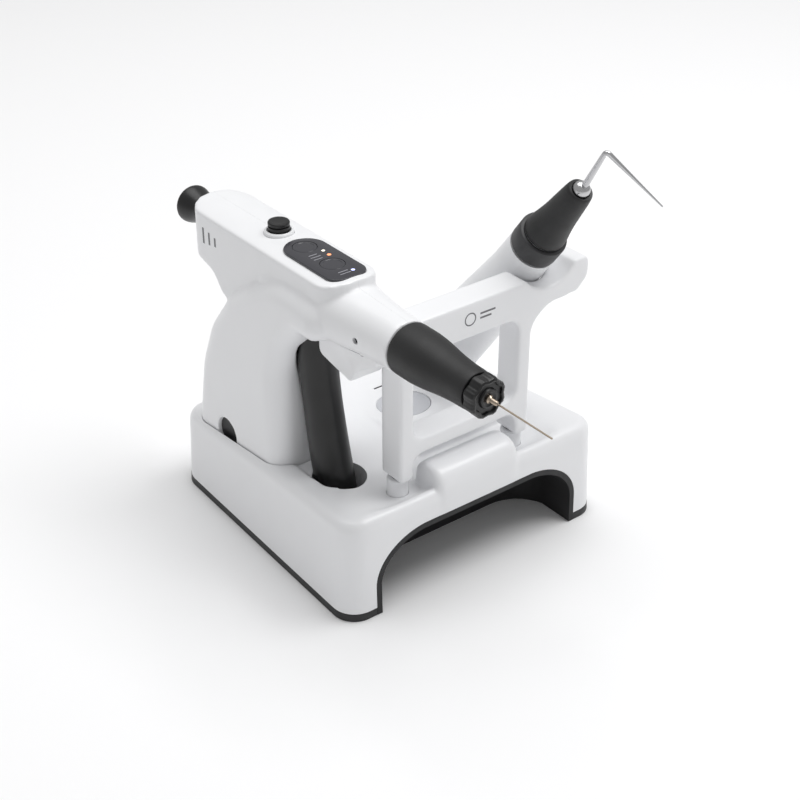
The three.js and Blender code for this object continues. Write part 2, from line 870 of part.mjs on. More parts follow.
function gunCavities() {
  const notchFace = -gun.handleHalf;
  return [
    gripTube(grip.radius + gap),
    down(battery.y, battery.foot - gap, battery.foot + battery.length + gap, battery.radius + gap),
    ...mechanismCavities(),
    ...triggerCavities(),
    ...controlCavities(),
    along(muzzleY + heater.root, muzzleY - 5, gun.axis, heater.radius + gap),
    rod(
      at(notchFace - notch.depth, notch.y, notch.z),
      at(notchFace + notch.depth, notch.y, notch.z),
      notch.radius,
      24,
    ),
    block(
      -gunContact.half,
      gunContact.half,
      gunContact.front,
      gunContact.back,
      gun.handleFoot - 4,
      gun.handleFoot + gunContact.thickness,
    ),
  ];
}

const panelPlan = (grow) =>
  outline([
    [-panel.half - grow, panel.front - grow + 2.2, 5],
    [panel.half + grow, panel.front - grow + 2.2, 5],
    [panel.half + grow, panel.rear + grow, panel.half - 0.05],
    [-panel.half - grow, panel.rear + grow, panel.half - 0.05],
  ]);

const gunWhole = cut(gunBody(), ...gunCavities());
const shellHalf = (x0, x1) => gunWhole.intersect(block(x0, x1, -far, far, 0, far));
piece(gunGroup, "gun_shell_left", shellHalf(-far, -gap / 2), white);
piece(gunGroup, "gun_shell_right", shellHalf(gap / 2, far), white);
piece(
  gunGroup,
  "front_grip",
  cut(gripTube(grip.radius), block(-far, far, -far, far, 0, grip.foot)),
  black,
);
piece(
  gunGroup,
  "gun_battery",
  down(battery.y, battery.foot, battery.foot + battery.length, battery.radius),
  green,
);
piece(gunGroup, "gun_motor", along(motor.y, motor.y - motor.length, motor.axis, motor.radius), steel);
piece(
  gunGroup,
  "gun_board",
  block(
    -gunBoard.half + gap,
    gunBoard.half - gap,
    gunBoard.front + gap,
    gunBoard.back - gap,
    gunBoard.foot + gap,
    gunBoard.foot + gunBoard.thickness - gap,
  ),
  green,
);
piece(
  gunGroup,
  "gun_contact",
  block(
    -gunContact.half + gap,
    gunContact.half - gap,
    gunContact.front + gap,
    gunContact.back - gap,
    gun.handleFoot + gunContact.lift,
    gun.handleFoot + gunContact.thickness - gap,
  ),
  brass,
);
const panelFoot = gun.blockTop - panel.thickness + gap;
const panelTop = gun.blockTop + panel.proud;
piece(
  gunGroup,
  "control_panel",
  cut(
    upright(panelPlan(0), panelFoot, panelTop),
    ...key.places.map((y) => down(y, panelFoot - 5, panelTop + 5, key.radius + gap, 24)),
  ),
  gloss,
);
key.places.forEach((y, i) => {
  piece(
    gunGroup,
    `panel_key_${["rear", "front"][i]}`,
    join(
      down(y, gun.blockTop - panel.thickness + key.sink, panelTop + key.proud, key.radius, 24),
      down(y, gunBoard.foot + gunBoard.thickness + gap, gun.blockTop, key.radius - key.stem + 0.1, 16),
    ),
    gloss,
  );
});
piece(
  gunGroup,
  "button_collar",
  cut(
    turned(
      [
        [-1 + gap, topButton.collarRadius],
        [topButton.collarHeight - 0.4, topButton.collarRadius],
        [topButton.collarHeight, topButton.collarRadius - 0.6],
      ],
      at(0, topButton.y, gun.blockTop),
      Z,
    ),
    down(topButton.y, gun.blockTop - 4, gun.blockTop + 4, topButton.radius + gap, 28),
  ),
  white,
);
piece(
  gunGroup,
  "top_button",
  turned(
    [
      [-topButton.root, topButton.stem],
      [-0.2, topButton.stem],
      [0.5, topButton.radius],
      [topButton.cap, topButton.radius],
      [topButton.cap + 0.1, topButton.radius - 0.7],
      [topButton.cap + 1, topButton.radius - 0.7],
      [topButton.cap + 1.3, topButton.radius - 1.2],
    ],
    at(0, topButton.y, gun.blockTop),
    Z,
  ),
  black,
);
piece(
  gunGroup,
  "trigger",
  cut(
    sideways(triggerShape(0), -trigger.half, trigger.half, 1.6),
    across(trigger.pinHalf * 2, trigger.pinY, trigger.pinZ, trigger.pinRadius + gap / 2, 16),
  ),
  white,
);
piece(
  gunGroup,
  "trigger_pin",
  across(trigger.pinHalf, trigger.pinY, trigger.pinZ, trigger.pinRadius, 16),
  steel,
);
piece(
  gunGroup,
  "nose_cap",
  cut(
    turned(
      [
        [gap, nose.rearRadius - 0.3],
        [1.5, nose.rearRadius],
        [8, 8.9],
        [14, 8.2],
        [20, 7.5],
        [26, 7.1],
        [nose.length - 0.8, nose.frontRadius],
        [nose.length, nose.frontRadius - 0.8],
      ],
      at(0, muzzleY, gun.axis),
      at(0, -1, 0),
    ),
    along(muzzleY + 5, noseEnd + heater.end, gun.axis, nose.bore),
    along(muzzleY, noseEnd - 5, gun.axis, nut.bore),
  ),
  rubber,
);
piece(
  gunGroup,
  "heater_barrel",
  cut(
    along(muzzleY + heater.root - gap, noseEnd + heater.end + gap, gun.axis, heater.radius),
    along(muzzleY + 20, noseEnd + heater.bore, gun.axis, plunger.pistonRadius + gap, 16),
  ),
  brass,
);
piece(
  gunGroup,
  "heater_sleeve",
  cut(
    along(muzzleY - gap, noseEnd + heater.end + gap, gun.axis, nose.bore - gap),
    along(muzzleY + 5, noseEnd - 5, gun.axis, heater.radius + gap / 2),
  ),
  white,
);

function needleNut() {
  const edge = new THREE.Shape();
  const steps = nut.waves * 4;
  for (let i = 0; i < steps; i += 1) {
    const angle = (2 * Math.PI * i) / steps;
    const r = nut.radius - nut.waveDepth * (0.5 - 0.5 * Math.cos(nut.waves * angle));
    if (i === 0) edge.moveTo(r, 0);
    else edge.lineTo(r * Math.cos(angle), r * Math.sin(angle));
  }
  return cut(
    moved(lengthways(edge, noseEnd - nut.length, noseEnd - gap, 0.6), 0, 0, gun.axis),
    along(noseEnd + 1, noseEnd - nut.length - 1, gun.axis, needle.hubRadius + gap, 20),
  );
}
piece(gunGroup, "needle_nut", needleNut(), black);
piece(
  gunGroup,
  "needle",
  turned(
    [
      [-nut.length, needle.hubRadius],
      [1.2, needle.hubRadius],
      [1.6, 0.8],
      [needle.hubLength, 0.7],
      [needle.hubLength + 0.4, needle.radius],
      [needle.length, needle.radius],
    ],
    at(0, noseEnd - nut.length, gun.axis),
    at(0, -1, 0),
    16,
  ),
  brass,
);
piece(
  gunGroup,
  "plunger_knob",
  cut(
    turned(
      [
        [plunger.neck, plunger.neckRadius],
        [plunger.neck + 3, plunger.neckRadius - 0.3],
        [plunger.neck + 8.5, plunger.discRadius - 0.9],
        [plunger.neck + plunger.length - 2.4, plunger.discRadius],
        [plunger.neck + plunger.length - 0.6, plunger.discRadius],
        [plunger.neck + plunger.length, plunger.discRadius - 0.7],
      ],
      at(0, 0, plunger.axis),
      Y,
    ),
    along(plunger.neck - 6, plunger.neck + plunger.socket, plunger.axis, plunger.rodRadius + gap / 2, 20),
  ),
  black,
);
piece(
  gunGroup,
  "plunger_rod",
  along(carriage.back + slack, plunger.neck + plunger.socket - gap, plunger.axis, plunger.rodRadius),
  steel,
);
const pistonRear = carriage.back - carriage.grip;
piece(
  gunGroup,
  "plunger_carriage",
  cut(
    block(
      -carriage.half,
      carriage.half,
      carriage.front,
      carriage.back + gap / 2,
      gun.axis - carriage.rise,
      plunger.axis + carriage.rise,
    ),
    along(pistonRear - 13, pistonRear, gun.axis, plunger.pistonRadius + gap / 2, 16),
  ),
  brass,
);
piece(
  gunGroup,
  "piston_rod",
  along(pistonRear - gap, noseEnd + plunger.pistonEnd, gun.axis, plunger.pistonRadius, 12),
  steel,
);
piece(gunGroup, "drive_pinion", across(pinion.half, pinion.y, gearZ, pinion.radius, 24), brass);

// ---- The pen --------------------------------------------------------------------------------

const socketEnd = pen.coneLength;
const bar = (z0, z1, radius, sides) => rod(at(0, 0, z0), at(0, 0, z1), radius, sides);
const batteryTop = penBattery.foot + penBattery.length;
const penBores = () => [
  bar(penBattery.foot - gap, batteryTop + gap, penBattery.radius + gap),
  block(
    -penBoard.half,
    penBoard.half,
    -penBoard.halfThickness,
    penBoard.halfThickness,
    penBoard.foot,
    penBoard.slotTop,
  ),
  bar(penCore.foot, 10, penCore.radius + gap),
];
const penWhole = cut(penHull(0), ...penBores());
const penSeam = -pen.seam;
piece(penGroup, "pen_body", penWhole.intersect(slab(penSeam, 0)), white);
piece(penGroup, "pen_tail_cap", penWhole.intersect(slab(-far, penSeam - gap)), white);
piece(penGroup, "pen_battery", bar(penBattery.foot, batteryTop, penBattery.radius), green);
piece(
  penGroup,
  "pen_board",
  block(
    -penBoard.half + gap,
    penBoard.half - gap,
    -penBoard.halfThickness + gap,
    penBoard.halfThickness - gap,
    penBoard.foot + gap,
    penBoard.top,
  ),
  green,
);
piece(penGroup, "pen_heater_core", bar(penCore.foot + gap, socketEnd - penCore.end, penCore.radius), brass);
const ringProfile = [
  [-pen.ringLength + pen.ringTravel, pen.ringRadius - 0.4],
  [-pen.ringLength + pen.ringTravel + 0.5, pen.ringRadius],
  [-0.6 - gap, pen.ringRadius],
  [-gap, pen.ringRadius - 0.6],
];
piece(
  penGroup,
  "switch_ring",
  cut(turned(ringProfile, at(0, 0, 0), Z, 24), bar(-20, 5, pen.hubRadius + gap)),
  rubber,
);
piece(
  penGroup,
  "ring_hub",
  cut(bar(-pen.ringLength, -gap, pen.hubRadius), bar(-20, 5, penCore.radius + gap)),
  grey,
);
piece(
  penGroup,
  "pen_cone",
  cut(
    turned(
      [
        [0, 8],
        [3, 7.8],
        [10, 6.6],
        [22, 5.6],
        [pen.coneLength - 1.2, 4.9],
        [pen.coneLength, 4.3],
      ],
      at(0, 0, 0),
      Z,
    ),
    bar(-5, 40, penCore.radius + gap),
  ),
  rubber,
);
piece(
  penGroup,
  "tip_dome",
  cut(
    turned(
      [
        [socketEnd - penCore.end + gap, dome.radius],
        [socketEnd, dome.radius],
        [socketEnd + 1.6, 3],
        [socketEnd + 2.9, 2],
      ],
      at(0, 0, 0),
      Z,
      24,
    ),
    bar(socketEnd - dome.sink, socketEnd + 10, plugger.shankRadius + gap, 16),
  ),
  steel,
);

const ball = (middle, radius) =>
  solid(new THREE.SphereGeometry(radius, 10, 6).translate(middle.x, middle.y, middle.z));

// The plugger is a straight shank, a tight bend and a tapering tip.
function pluggerSolid() {
  const toPen = new THREE.Matrix4().copy(penGroup.matrix).invert();
  const inPen = (x, y, z) => at(x, y, z).transformDirection(toPen);
  const root = at(0, 0, socketEnd - dome.sink + gap);
  const collar = at(0, 0, socketEnd + plugger.collar);
  const shank = inPen(0, -0.5, 0.866);
  const bend = collar.clone().addScaledVector(shank, plugger.shankLength);
  const tip = inPen(0.53, -0.49, -0.69);
  return join(
    rod(root, collar, plugger.shankRadius, 10),
    turned(
      [
        [0, plugger.shankRadius],
        [plugger.shankLength - 3, plugger.rootRadius],
        [plugger.shankLength, plugger.rootRadius],
      ],
      collar,
      shank,
      10,
    ),
    ball(collar, plugger.shankRadius),
    ball(bend, plugger.rootRadius),
    turned(
      [
        [0, plugger.rootRadius],
        [8, plugger.rootRadius * 0.75],
        [plugger.tipLength, plugger.tipRadius],
      ],
      bend,
      tip,
      10,
    ),
  );
}
piece(penGroup, "plugger_tip", pluggerSolid(), steel);

const set = new THREE.Group();
set.add(baseGroup, gunGroup, penGroup);
export default set;
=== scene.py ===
"""Looks of a cordless root-canal obturation set: a backfill gun and a plugger pen on a charging base.

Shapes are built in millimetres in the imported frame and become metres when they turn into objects.
"""
import json
import logging
import math
from collections.abc import Callable, Sequence
from dataclasses import dataclass, field
from enum import Enum

import bmesh
import bpy
from mathutils import Matrix, Vector

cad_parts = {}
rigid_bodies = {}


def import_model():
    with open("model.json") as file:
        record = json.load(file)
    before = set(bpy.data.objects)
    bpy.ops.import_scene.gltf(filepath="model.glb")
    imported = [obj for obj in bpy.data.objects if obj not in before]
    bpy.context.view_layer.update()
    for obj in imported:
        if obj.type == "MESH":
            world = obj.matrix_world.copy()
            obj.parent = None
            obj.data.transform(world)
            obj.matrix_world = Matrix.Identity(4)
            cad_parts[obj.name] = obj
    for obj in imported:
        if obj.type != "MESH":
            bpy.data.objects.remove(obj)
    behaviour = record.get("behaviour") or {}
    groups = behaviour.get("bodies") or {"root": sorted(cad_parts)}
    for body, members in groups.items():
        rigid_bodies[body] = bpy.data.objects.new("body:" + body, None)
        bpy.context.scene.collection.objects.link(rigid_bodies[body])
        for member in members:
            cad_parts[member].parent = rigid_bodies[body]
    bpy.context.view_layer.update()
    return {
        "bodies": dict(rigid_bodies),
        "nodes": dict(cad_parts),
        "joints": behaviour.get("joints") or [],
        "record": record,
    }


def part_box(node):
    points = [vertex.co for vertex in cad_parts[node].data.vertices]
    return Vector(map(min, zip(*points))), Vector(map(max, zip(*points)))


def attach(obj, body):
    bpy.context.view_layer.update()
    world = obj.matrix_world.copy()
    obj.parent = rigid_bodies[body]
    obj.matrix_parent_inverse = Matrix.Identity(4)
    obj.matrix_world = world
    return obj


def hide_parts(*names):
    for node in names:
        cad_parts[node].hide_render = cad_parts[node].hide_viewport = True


log = logging.getLogger("obturation_set")

MM = 0.001
FULL_TURN = 2 * math.pi
X_AXIS = Vector((1, 0, 0))
Y_AXIS = Vector((0, 1, 0))
Z_AXIS = Vector((0, 0, 1))
Profile = Sequence[tuple[float, float]]
Corners = Sequence[tuple[float, float, float]]


class Plane(Enum):
    """The plane an outline is drawn in; it is given depth along the third axis."""

    PLAN = Matrix(((1, 0, 0), (0, 1, 0), (0, 0, 1))).to_4x4()
    SIDE = Matrix(((0, 0, 1), (1, 0, 0), (0, 1, 0))).to_4x4()
    FRONT = Matrix(((1, 0, 0), (0, 0, -1), (0, 1, 0))).to_4x4()


class Grain(Enum):
    """What the fine surface of a finish is made of."""

    MOULDED = "moulded"
    BRUSHED = "brushed"
    PEBBLED = "pebbled"


@dataclass(frozen=True)
class Finish:
    """One surface finish, made into a procedural material."""

    name: str
    colour: tuple[float, float, float]
    roughness: float
    metallic: float = 0.0
    coat: float = 0.0
    grain: Grain = Grain.MOULDED
    grain_size: float = 0.4
    grain_depth: float = 0.01
    mottle: float = 0.03
    rough_spread: float = 0.06
    glow: float = 0.0

    def material(self) -> bpy.types.Material:
        """Build the material, or return it if it is already there."""
        found = bpy.data.materials.get(self.name)
        if found:
            return found
        made = bpy.data.materials.new(self.name)
        made.use_nodes = True
        made.diffuse_color = (*self.colour, 1.0)
        tree = made.node_tree
        shader = tree.nodes["Principled BSDF"]
        shader.inputs["Metallic"].default_value = self.metallic
        shader.inputs["Coat Weight"].default_value = self.coat
        shader.inputs["Coat Roughness"].default_value = 0.08
        place = tree.nodes.new("ShaderNodeTexCoord")
        self._tint(tree, shader, place)
        self._sheen(tree, shader, place)
        self._relief(tree, shader, place)
        if self.glow:
            shader.inputs["Emission Color"].default_value = (*self.colour, 1.0)
            shader.inputs["Emission Strength"].default_value = self.glow
        return made

    def _noise(
        self, tree: bpy.types.NodeTree, place: bpy.types.Node, size: float, stretch: Vector | None = None
    ) -> bpy.types.Node:
        """Add a noise whose lumps are about size millimetres across.

        Args:
            tree: The material's nodes.
            place: The texture coordinate node.
            size: Width of a lump in millimetres.
            stretch: How much longer the lumps are along each axis.

        Returns:
            The noise node.
        """
        mapping = tree.nodes.new("ShaderNodeMapping")
        if stretch:
            mapping.inputs["Scale"].default_value = (1 / stretch.x, 1 / stretch.y, 1 / stretch.z)
        noise = tree.nodes.new("ShaderNodeTexNoise")
        noise.inputs["Scale"].default_value = 1 / (size * MM)
        noise.inputs["Detail"].default_value = 4.0
        noise.inputs["Roughness"].default_value = 0.55
        tree.links.new(place.outputs["Object"], mapping.inputs["Vector"])
        tree.links.new(mapping.outputs["Vector"], noise.inputs["Vector"])
        return noise

    def _tint(self, tree: bpy.types.NodeTree, shader: bpy.types.Node, place: bpy.types.Node) -> None:
        """Let the colour drift a little over the piece."""
        noise = self._noise(tree, place, 18.0)
        mix = tree.nodes.new("ShaderNodeMix")
        mix.data_type = "RGBA"
        mix.inputs["A"].default_value = (*(c * (1 - self.mottle) for c in self.colour), 1.0)
        mix.inputs["B"].default_value = (*(min(c * (1 + self.mottle), 1.0) for c in self.colour), 1.0)
        tree.links.new(noise.outputs["Fac"], mix.inputs["Factor"])
        tree.links.new(mix.outputs["Result"], shader.inputs["Base Color"])

    def _sheen(self, tree: bpy.types.NodeTree, shader: bpy.types.Node, place: bpy.types.Node) -> None:
        """Let the roughness drift, as on handled surfaces."""
        noise = self._noise(tree, place, 7.0)
        span = tree.nodes.new("ShaderNodeMapRange")
        span.inputs["From Min"].default_value = 0.3
        span.inputs["From Max"].default_value = 0.7
        span.inputs["To Min"].default_value = max(self.roughness - self.rough_spread, 0.02)
        span.inputs["To Max"].default_value = min(self.roughness + self.rough_spread, 1.0)
        tree.links.new(noise.outputs["Fac"], span.inputs["Value"])
        tree.links.new(span.outputs["Result"], shader.inputs["Roughness"])

    def _relief(self, tree: bpy.types.NodeTree, shader: bpy.types.Node, place: bpy.types.Node) -> None:
        """Add the fine grain as bump."""
        if self.grain is Grain.PEBBLED:
            relief = tree.nodes.new("ShaderNodeTexVoronoi")
            relief.inputs["Scale"].default_value = 1 / (self.grain_size * MM)
            tree.links.new(place.outputs["Object"], relief.inputs["Vector"])
            height = relief.outputs["Distance"]
        else:
            stretch = Vector((1, 40, 1)) if self.grain is Grain.BRUSHED else None
            height = self._noise(tree, place, self.grain_size, stretch).outputs["Fac"]
        bump = tree.nodes.new("ShaderNodeBump")
        bump.inputs["Strength"].default_value = 0.6
        bump.inputs["Distance"].default_value = self.grain_depth * MM
        tree.links.new(height, bump.inputs["Height"])
        tree.links.new(bump.outputs["Normal"], shader.inputs["Normal"])


WHITE = Finish(
    "white_moulding", (0.84, 0.845, 0.86), 0.34, coat=0.12, grain_size=0.35, grain_depth=0.012, mottle=0.012
)
GREY = Finish("grey_moulding", (0.56, 0.57, 0.6), 0.5, grain_size=0.3, grain_depth=0.02, mottle=0.03)
# black moulding; also paints the shade at the bottom of the gun's screw holes
BLACK = Finish("black_moulding_and_hole_shade", (0.0065, 0.0065, 0.007), 0.36, grain_size=0.35, grain_depth=0.03, mottle=0.15)
GRIP = Finish("grip_coating", (0.004, 0.004, 0.0042), 0.34, grain_size=0.5, grain_depth=0.03, mottle=0.15)
SILICONE = Finish(
    "nose_silicone", (0.0125, 0.0125, 0.013), 0.52,
    grain=Grain.PEBBLED, grain_size=0.45, grain_depth=0.035, mottle=0.12,
)
RING = Finish(
    "ring_silicone", (0.03, 0.03, 0.032), 0.5, grain=Grain.PEBBLED, grain_size=0.4, grain_depth=0.03, mottle=0.1
)
COVER = Finish("cover_plastic", (0.016, 0.016, 0.017), 0.5, grain_size=0.4, grain_depth=0.04, mottle=0.15)
# the arch liner's own black; also paints the shade inside the notch by the foot
LINER_AND_NOTCH_SHADE = Finish("liner_plastic_and_notch_shade", (0.009, 0.009, 0.01), 0.55, grain_size=0.4, grain_depth=0.04, mottle=0.15)
FOOT = Finish("foot_rubber", (0.014, 0.014, 0.014), 0.8, grain=Grain.PEBBLED, grain_size=0.6, grain_depth=0.05)
FILM = Finish("panel_film", (0.02, 0.02, 0.023), 0.16, coat=0.5, grain_size=2.5, grain_depth=0.006, mottle=0.1)
MARK = Finish("mark_ink", (0.16, 0.16, 0.17), 0.5, grain_size=0.3, grain_depth=0.01, mottle=0.08)
FILM_MARK = Finish("film_ink", (0.3, 0.3, 0.33), 0.4, grain_size=0.3, grain_depth=0.01, mottle=0.08)
STEEL = Finish(
    "turned_steel", (0.56, 0.56, 0.57), 0.24, 1.0,
    grain=Grain.BRUSHED, grain_size=0.12, grain_depth=0.01, mottle=0.06,
)
BRASS = Finish(
    "turned_brass", (0.55, 0.4, 0.22), 0.28, 1.0,
    grain=Grain.BRUSHED, grain_size=0.12, grain_depth=0.008, mottle=0.08,
)
NEEDLE = Finish("needle_silver", (0.42, 0.35, 0.28), 0.3, 1.0, grain_size=0.3, grain_depth=0.004, mottle=0.12)
CIRCUIT = Finish(
    "circuit_mask", (0.02, 0.12, 0.06), 0.4, coat=0.3, grain_size=0.8, grain_depth=0.03, mottle=0.2
)
CELL = Finish("cell_sleeve", (0.03, 0.08, 0.22), 0.3, coat=0.3, grain_size=1.5, grain_depth=0.02, mottle=0.06)
WHITE_LED = Finish("led_white", (1.0, 0.95, 0.8), 0.3, glow=1.3)
AMBER_LED = Finish("led_amber", (1.0, 0.32, 0.14), 0.3, glow=1.2)
BLUE_LED = Finish("led_blue", (0.5, 0.55, 1.0), 0.3, glow=1.4)

SLOT_FINISH = {
    "white_shell": WHITE,
    "grey_plastic": GREY,
    "black_plastic": BLACK,
    "silicone": SILICONE,
    "foot_rubber": FOOT,
    "panel_film": FILM,
    "steel": STEEL,
    "brass": BRASS,
    "circuit": CIRCUIT,
    "cell_wrap": CELL,
}


class Box:
    """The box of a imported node, in millimetres."""

    def __init__(self, node: str) -> None:
        """Read the box of node."""
        low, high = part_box(node)
        self.low = low / MM
        self.high = high / MM
        self.mid = (self.low + self.high) / 2


def arc_corners(corners: Corners, steps: int = 10) -> list[Vector]:
    """Round the corners of an outline with arcs.

    Args:
        corners: Each corner as x, y and radius.
        steps: Points along each arc, less one.

    Returns:
        The points of the rounded outline.
    """
    points: list[Vector] = []
    for i, (x, y, radius) in enumerate(corners):
        here = Vector((x, y))
        back = Vector(corners[i - 1][:2]) - here
        on = Vector(corners[(i + 1) % len(corners)][:2]) - here
        if radius <= 0:
            points.append(here)
            continue
        turn = back.angle(on)
        reach = radius / math.tan(turn / 2)
        middle = here + (back.normalized() + on.normalized()).normalized() * (radius / math.sin(turn / 2))
        start = here + back.normalized() * reach - middle
        end = here + on.normalized() * reach - middle
        sweep = start.angle_signed(end)
        for k in range(steps + 1):
            angle = -sweep * k / steps
            spun = Vector(
                (
                    start.x * math.cos(angle) - start.y * math.sin(angle),
                    start.x * math.sin(angle) + start.y * math.cos(angle),
                )
            )
            points.append(middle + spun)
    return points


def ease(share: float) -> float:
    """Run smoothly from 0 to 1."""
    share = min(max(share, 0.0), 1.0)
    return share * share * (3 - 2 * share)


def facing(way: Vector) -> Matrix:
    """The turn that lays the Z axis along a direction."""
    return Z_AXIS.rotation_difference(way.normalized()).to_matrix().to_4x4()


def rounded(x0: float, y0: float, x1: float, y1: float, radius: float) -> list[Vector]:
    """A rectangle with four equal round corners."""
    return arc_corners([(x0, y0, radius), (x1, y0, radius), (x1, y1, radius), (x0, y1, radius)])


def eased(points: Sequence[Sequence[float]], steps: int = 6) -> list[tuple[float, ...]]:
    """Draw a smooth line through points of any dimension.

    Args:
        points: The points that the line passes.
        steps: Stretches between two points.

    Returns:
        The points along the line.
    """
    line: list[tuple[float, ...]] = []
    last = len(points) - 1
    for i in range(last):
        p0, p1, p2, p3 = (points[max(min(i + k, last), 0)] for k in (-1, 0, 1, 2))
        for k in range(steps):
            t = k / steps
            line.append(
                tuple(
                    b + ((c - a) * t + (2 * a - 5 * b + 4 * c - d) * t**2 + (3 * b - a - 3 * c + d) * t**3) / 2
                    for a, b, c, d in zip(p0, p1, p2, p3)
                )
            )
    line.append(tuple(points[last]))
    return line


@dataclass
class Section:
    """A closed ring: an ellipse, or a rounder square where power is over 2."""

    centre: Vector
    across: Vector
    along: Vector
    power: float = 2.0

    def point(self, turn: float) -> Vector:
        """The point of the ring at an angle."""
        c, s = math.cos(turn), math.sin(turn)
        e = 2 / self.power
        return (
            self.centre
            + self.across * math.copysign(abs(c) ** e, c)
            + self.along * math.copysign(abs(s) ** e, s)
        )


class Form:
    """A closed shape in millimetres, made with mesh operators."""

    def __init__(self) -> None:
        """Start with nothing."""
        self.bm = bmesh.new()

    @classmethod
    def prism(cls, outline: Sequence[Vector], low: float, high: float, plane: Plane = Plane.PLAN) -> "Form":
        """Give an outline depth.

        Args:
            outline: The points of the outline in its plane.
            low: Where the depth starts on the third axis.
            high: Where it ends.
            plane: The plane of the outline.

        Returns:
            The form.
        """
        form = cls()
        face = form.bm.faces.new([form.bm.verts.new((p.x, p.y, 0)) for p in outline])
        grown = bmesh.ops.extrude_face_region(form.bm, geom=[face])
        moved = [g for g in grown["geom"] if isinstance(g, bmesh.types.BMVert)]
        bmesh.ops.translate(form.bm, verts=moved, vec=(0, 0, high - low))
        return form._stood(plane, low, high)

    @classmethod
    def pillow(
        cls,
        outline: Sequence[Vector],
        low: float,
        high: float,
        radius: float,
        plane: Plane = Plane.PLAN,
        steps: int = 6,
    ) -> "Form":
        """Give an outline depth, with both ends rounded over.

        Args:
            outline: The points of the outline in its plane.
            low: Where the depth starts on the third axis.
            high: Where it ends.
            radius: Radius of the rounding, less than that of each convex corner.
            plane: The plane of the outline.
            steps: Steps of each rounding.

        Returns:
            The form.
        """
        form = cls()
        spot = form.bm.verts.layers.int.new("spot")
        count = len(outline)
        inward = []
        for i, here in enumerate(outline):
            way = (here - outline[i - 1]).normalized() + (outline[(i + 1) % count] - here).normalized()
            way.normalize()
            inward.append(Vector((-way.y, way.x)))
        area = sum(outline[i - 1].cross(p) for i, p in enumerate(outline))
        turn = math.copysign(1.0, area)
        quarter = [math.pi / 2 * k / steps for k in range(steps + 1)]
        levels = [(radius * (1 - math.cos(a)), radius * (1 - math.sin(a))) for a in quarter]
        levels += [(high - low - depth, inset) for depth, inset in reversed(levels)]
        verts = []
        for i in range(count):
            vert = form.bm.verts.new((0, 0, 0))
            vert[spot] = i
            verts.append(vert)
        face = form.bm.faces.new(verts)
        for k, (depth, inset) in enumerate(levels):
            if k:
                grown = bmesh.ops.extrude_face_region(form.bm, geom=[face])["geom"]
                if k > 1:
                    bmesh.ops.delete(form.bm, geom=[face], context="FACES_ONLY")
                face = next(g for g in grown if isinstance(g, bmesh.types.BMFace))
            for vert in face.verts:
                point = outline[vert[spot]] + inward[vert[spot]] * inset * turn
                vert.co = Vector((point.x, point.y, depth))
        return form._stood(plane, low, high)

    @classmethod
    def turned(cls, profile: Profile, start: Vector, way: Vector, sides: int = 72) -> "Form":
        """Turn a profile about an axis.

        Args:
            profile: Pairs of distance along the axis and radius.
            start: The point that distances are counted from.
            way: The direction of the axis.
            sides: Steps of the full turn.

        Returns:
            The form, closed at both ends.
        """
        form = cls()
        points = list(profile)
        if points[0][1] > 0:
            points.insert(0, (points[0][0], 0.0))
        if points[-1][1] > 0:
            points.append((points[-1][0], 0.0))
        verts = [form.bm.verts.new((r, 0, d)) for d, r in points]
        edges = [form.bm.edges.new(pair) for pair in zip(verts, verts[1:])]
        return form._spun([*verts, *edges], start, way, sides)

    @classmethod
    def turned_ring(cls, profile: Profile, start: Vector, way: Vector, sides: int = 96) -> "Form":
        """Turn a closed profile, which doesn't touch the axis, into a ring.

        Args:
            profile: Pairs of distance and radius, the last the same as the first.
            start: The point that distances are counted from.
            way: The direction of the axis.
            sides: Steps of the full turn.

        Returns:
            The ring.
        """
        form = cls()
        verts = [form.bm.verts.new((r, 0, d)) for d, r in profile[:-1]]
        edges = [form.bm.edges.new((verts[i - 1], v)) for i, v in enumerate(verts)]
        return form._spun([*verts, *edges], start, way, sides)

    def _spun(self, wire: list, start: Vector, way: Vector, sides: int) -> "Form":
        """Spin a wire a full turn about Z, then lay that axis along a direction."""
        bmesh.ops.spin(
            self.bm, geom=wire, cent=(0, 0, 0), axis=(0, 0, 1), angle=FULL_TURN, steps=sides, use_merge=True
        )
        bmesh.ops.remove_doubles(self.bm, verts=self.bm.verts, dist=1e-4)
        return self.placed(Matrix.Translation(start) @ facing(way)).outward()

    def _stood(self, plane: Plane, low: float, high: float) -> "Form":
        """Stand what was drawn flat in its plane, at its place along the third axis."""
        start = {Plane.PLAN: (0, 0, low), Plane.SIDE: (low, 0, 0), Plane.FRONT: (0, high, 0)}[plane]
        return self.placed(Matrix.Translation(start) @ plane.value).outward()

    @classmethod
    def rod(cls, start: Vector, end: Vector, radius: float, sides: int = 48) -> "Form":
        """A plain round bar between two points."""
        return cls.turned([(0, radius), ((end - start).length, radius)], start, end - start, sides)

    @classmethod
    def block(cls, low: Sequence[float], high: Sequence[float]) -> "Form":
        """A box between two corners."""
        form = cls()
        size = Vector(high) - Vector(low)
        middle = (Vector(high) + Vector(low)) / 2
        bmesh.ops.create_cube(
            form.bm, size=1, matrix=Matrix.Translation(middle) @ Matrix.Diagonal((*size, 1))
        )
        return form

    @classmethod
    def ramp(
        cls, low: Sequence[float], high: Sequence[float], sky: float, height: Callable[[float, float], float]
    ) -> "Form":
        """A block whose underside follows a height rule.

        Args:
            low: The lower corner in x and y.
            high: The upper corner in x and y.
            sky: The height of its flat top.
            height: Gives the underside's height at x and y.

        Returns:
            The form.
        """
        form = cls()
        bmesh.ops.create_grid(form.bm, x_segments=48, y_segments=32, size=0.5)
        size = Vector(high) - Vector(low)
        for vert in form.bm.verts:
            x = low[0] + (vert.co.x + 0.5) * size.x
            y = low[1] + (vert.co.y + 0.5) * size.y
            vert.co = Vector((x, y, height(x, y)))
        grown = bmesh.ops.extrude_face_region(form.bm, geom=list(form.bm.faces))
        for item in grown["geom"]:
            if isinstance(item, bmesh.types.BMVert):
                item.co.z = sky
        return form.outward()

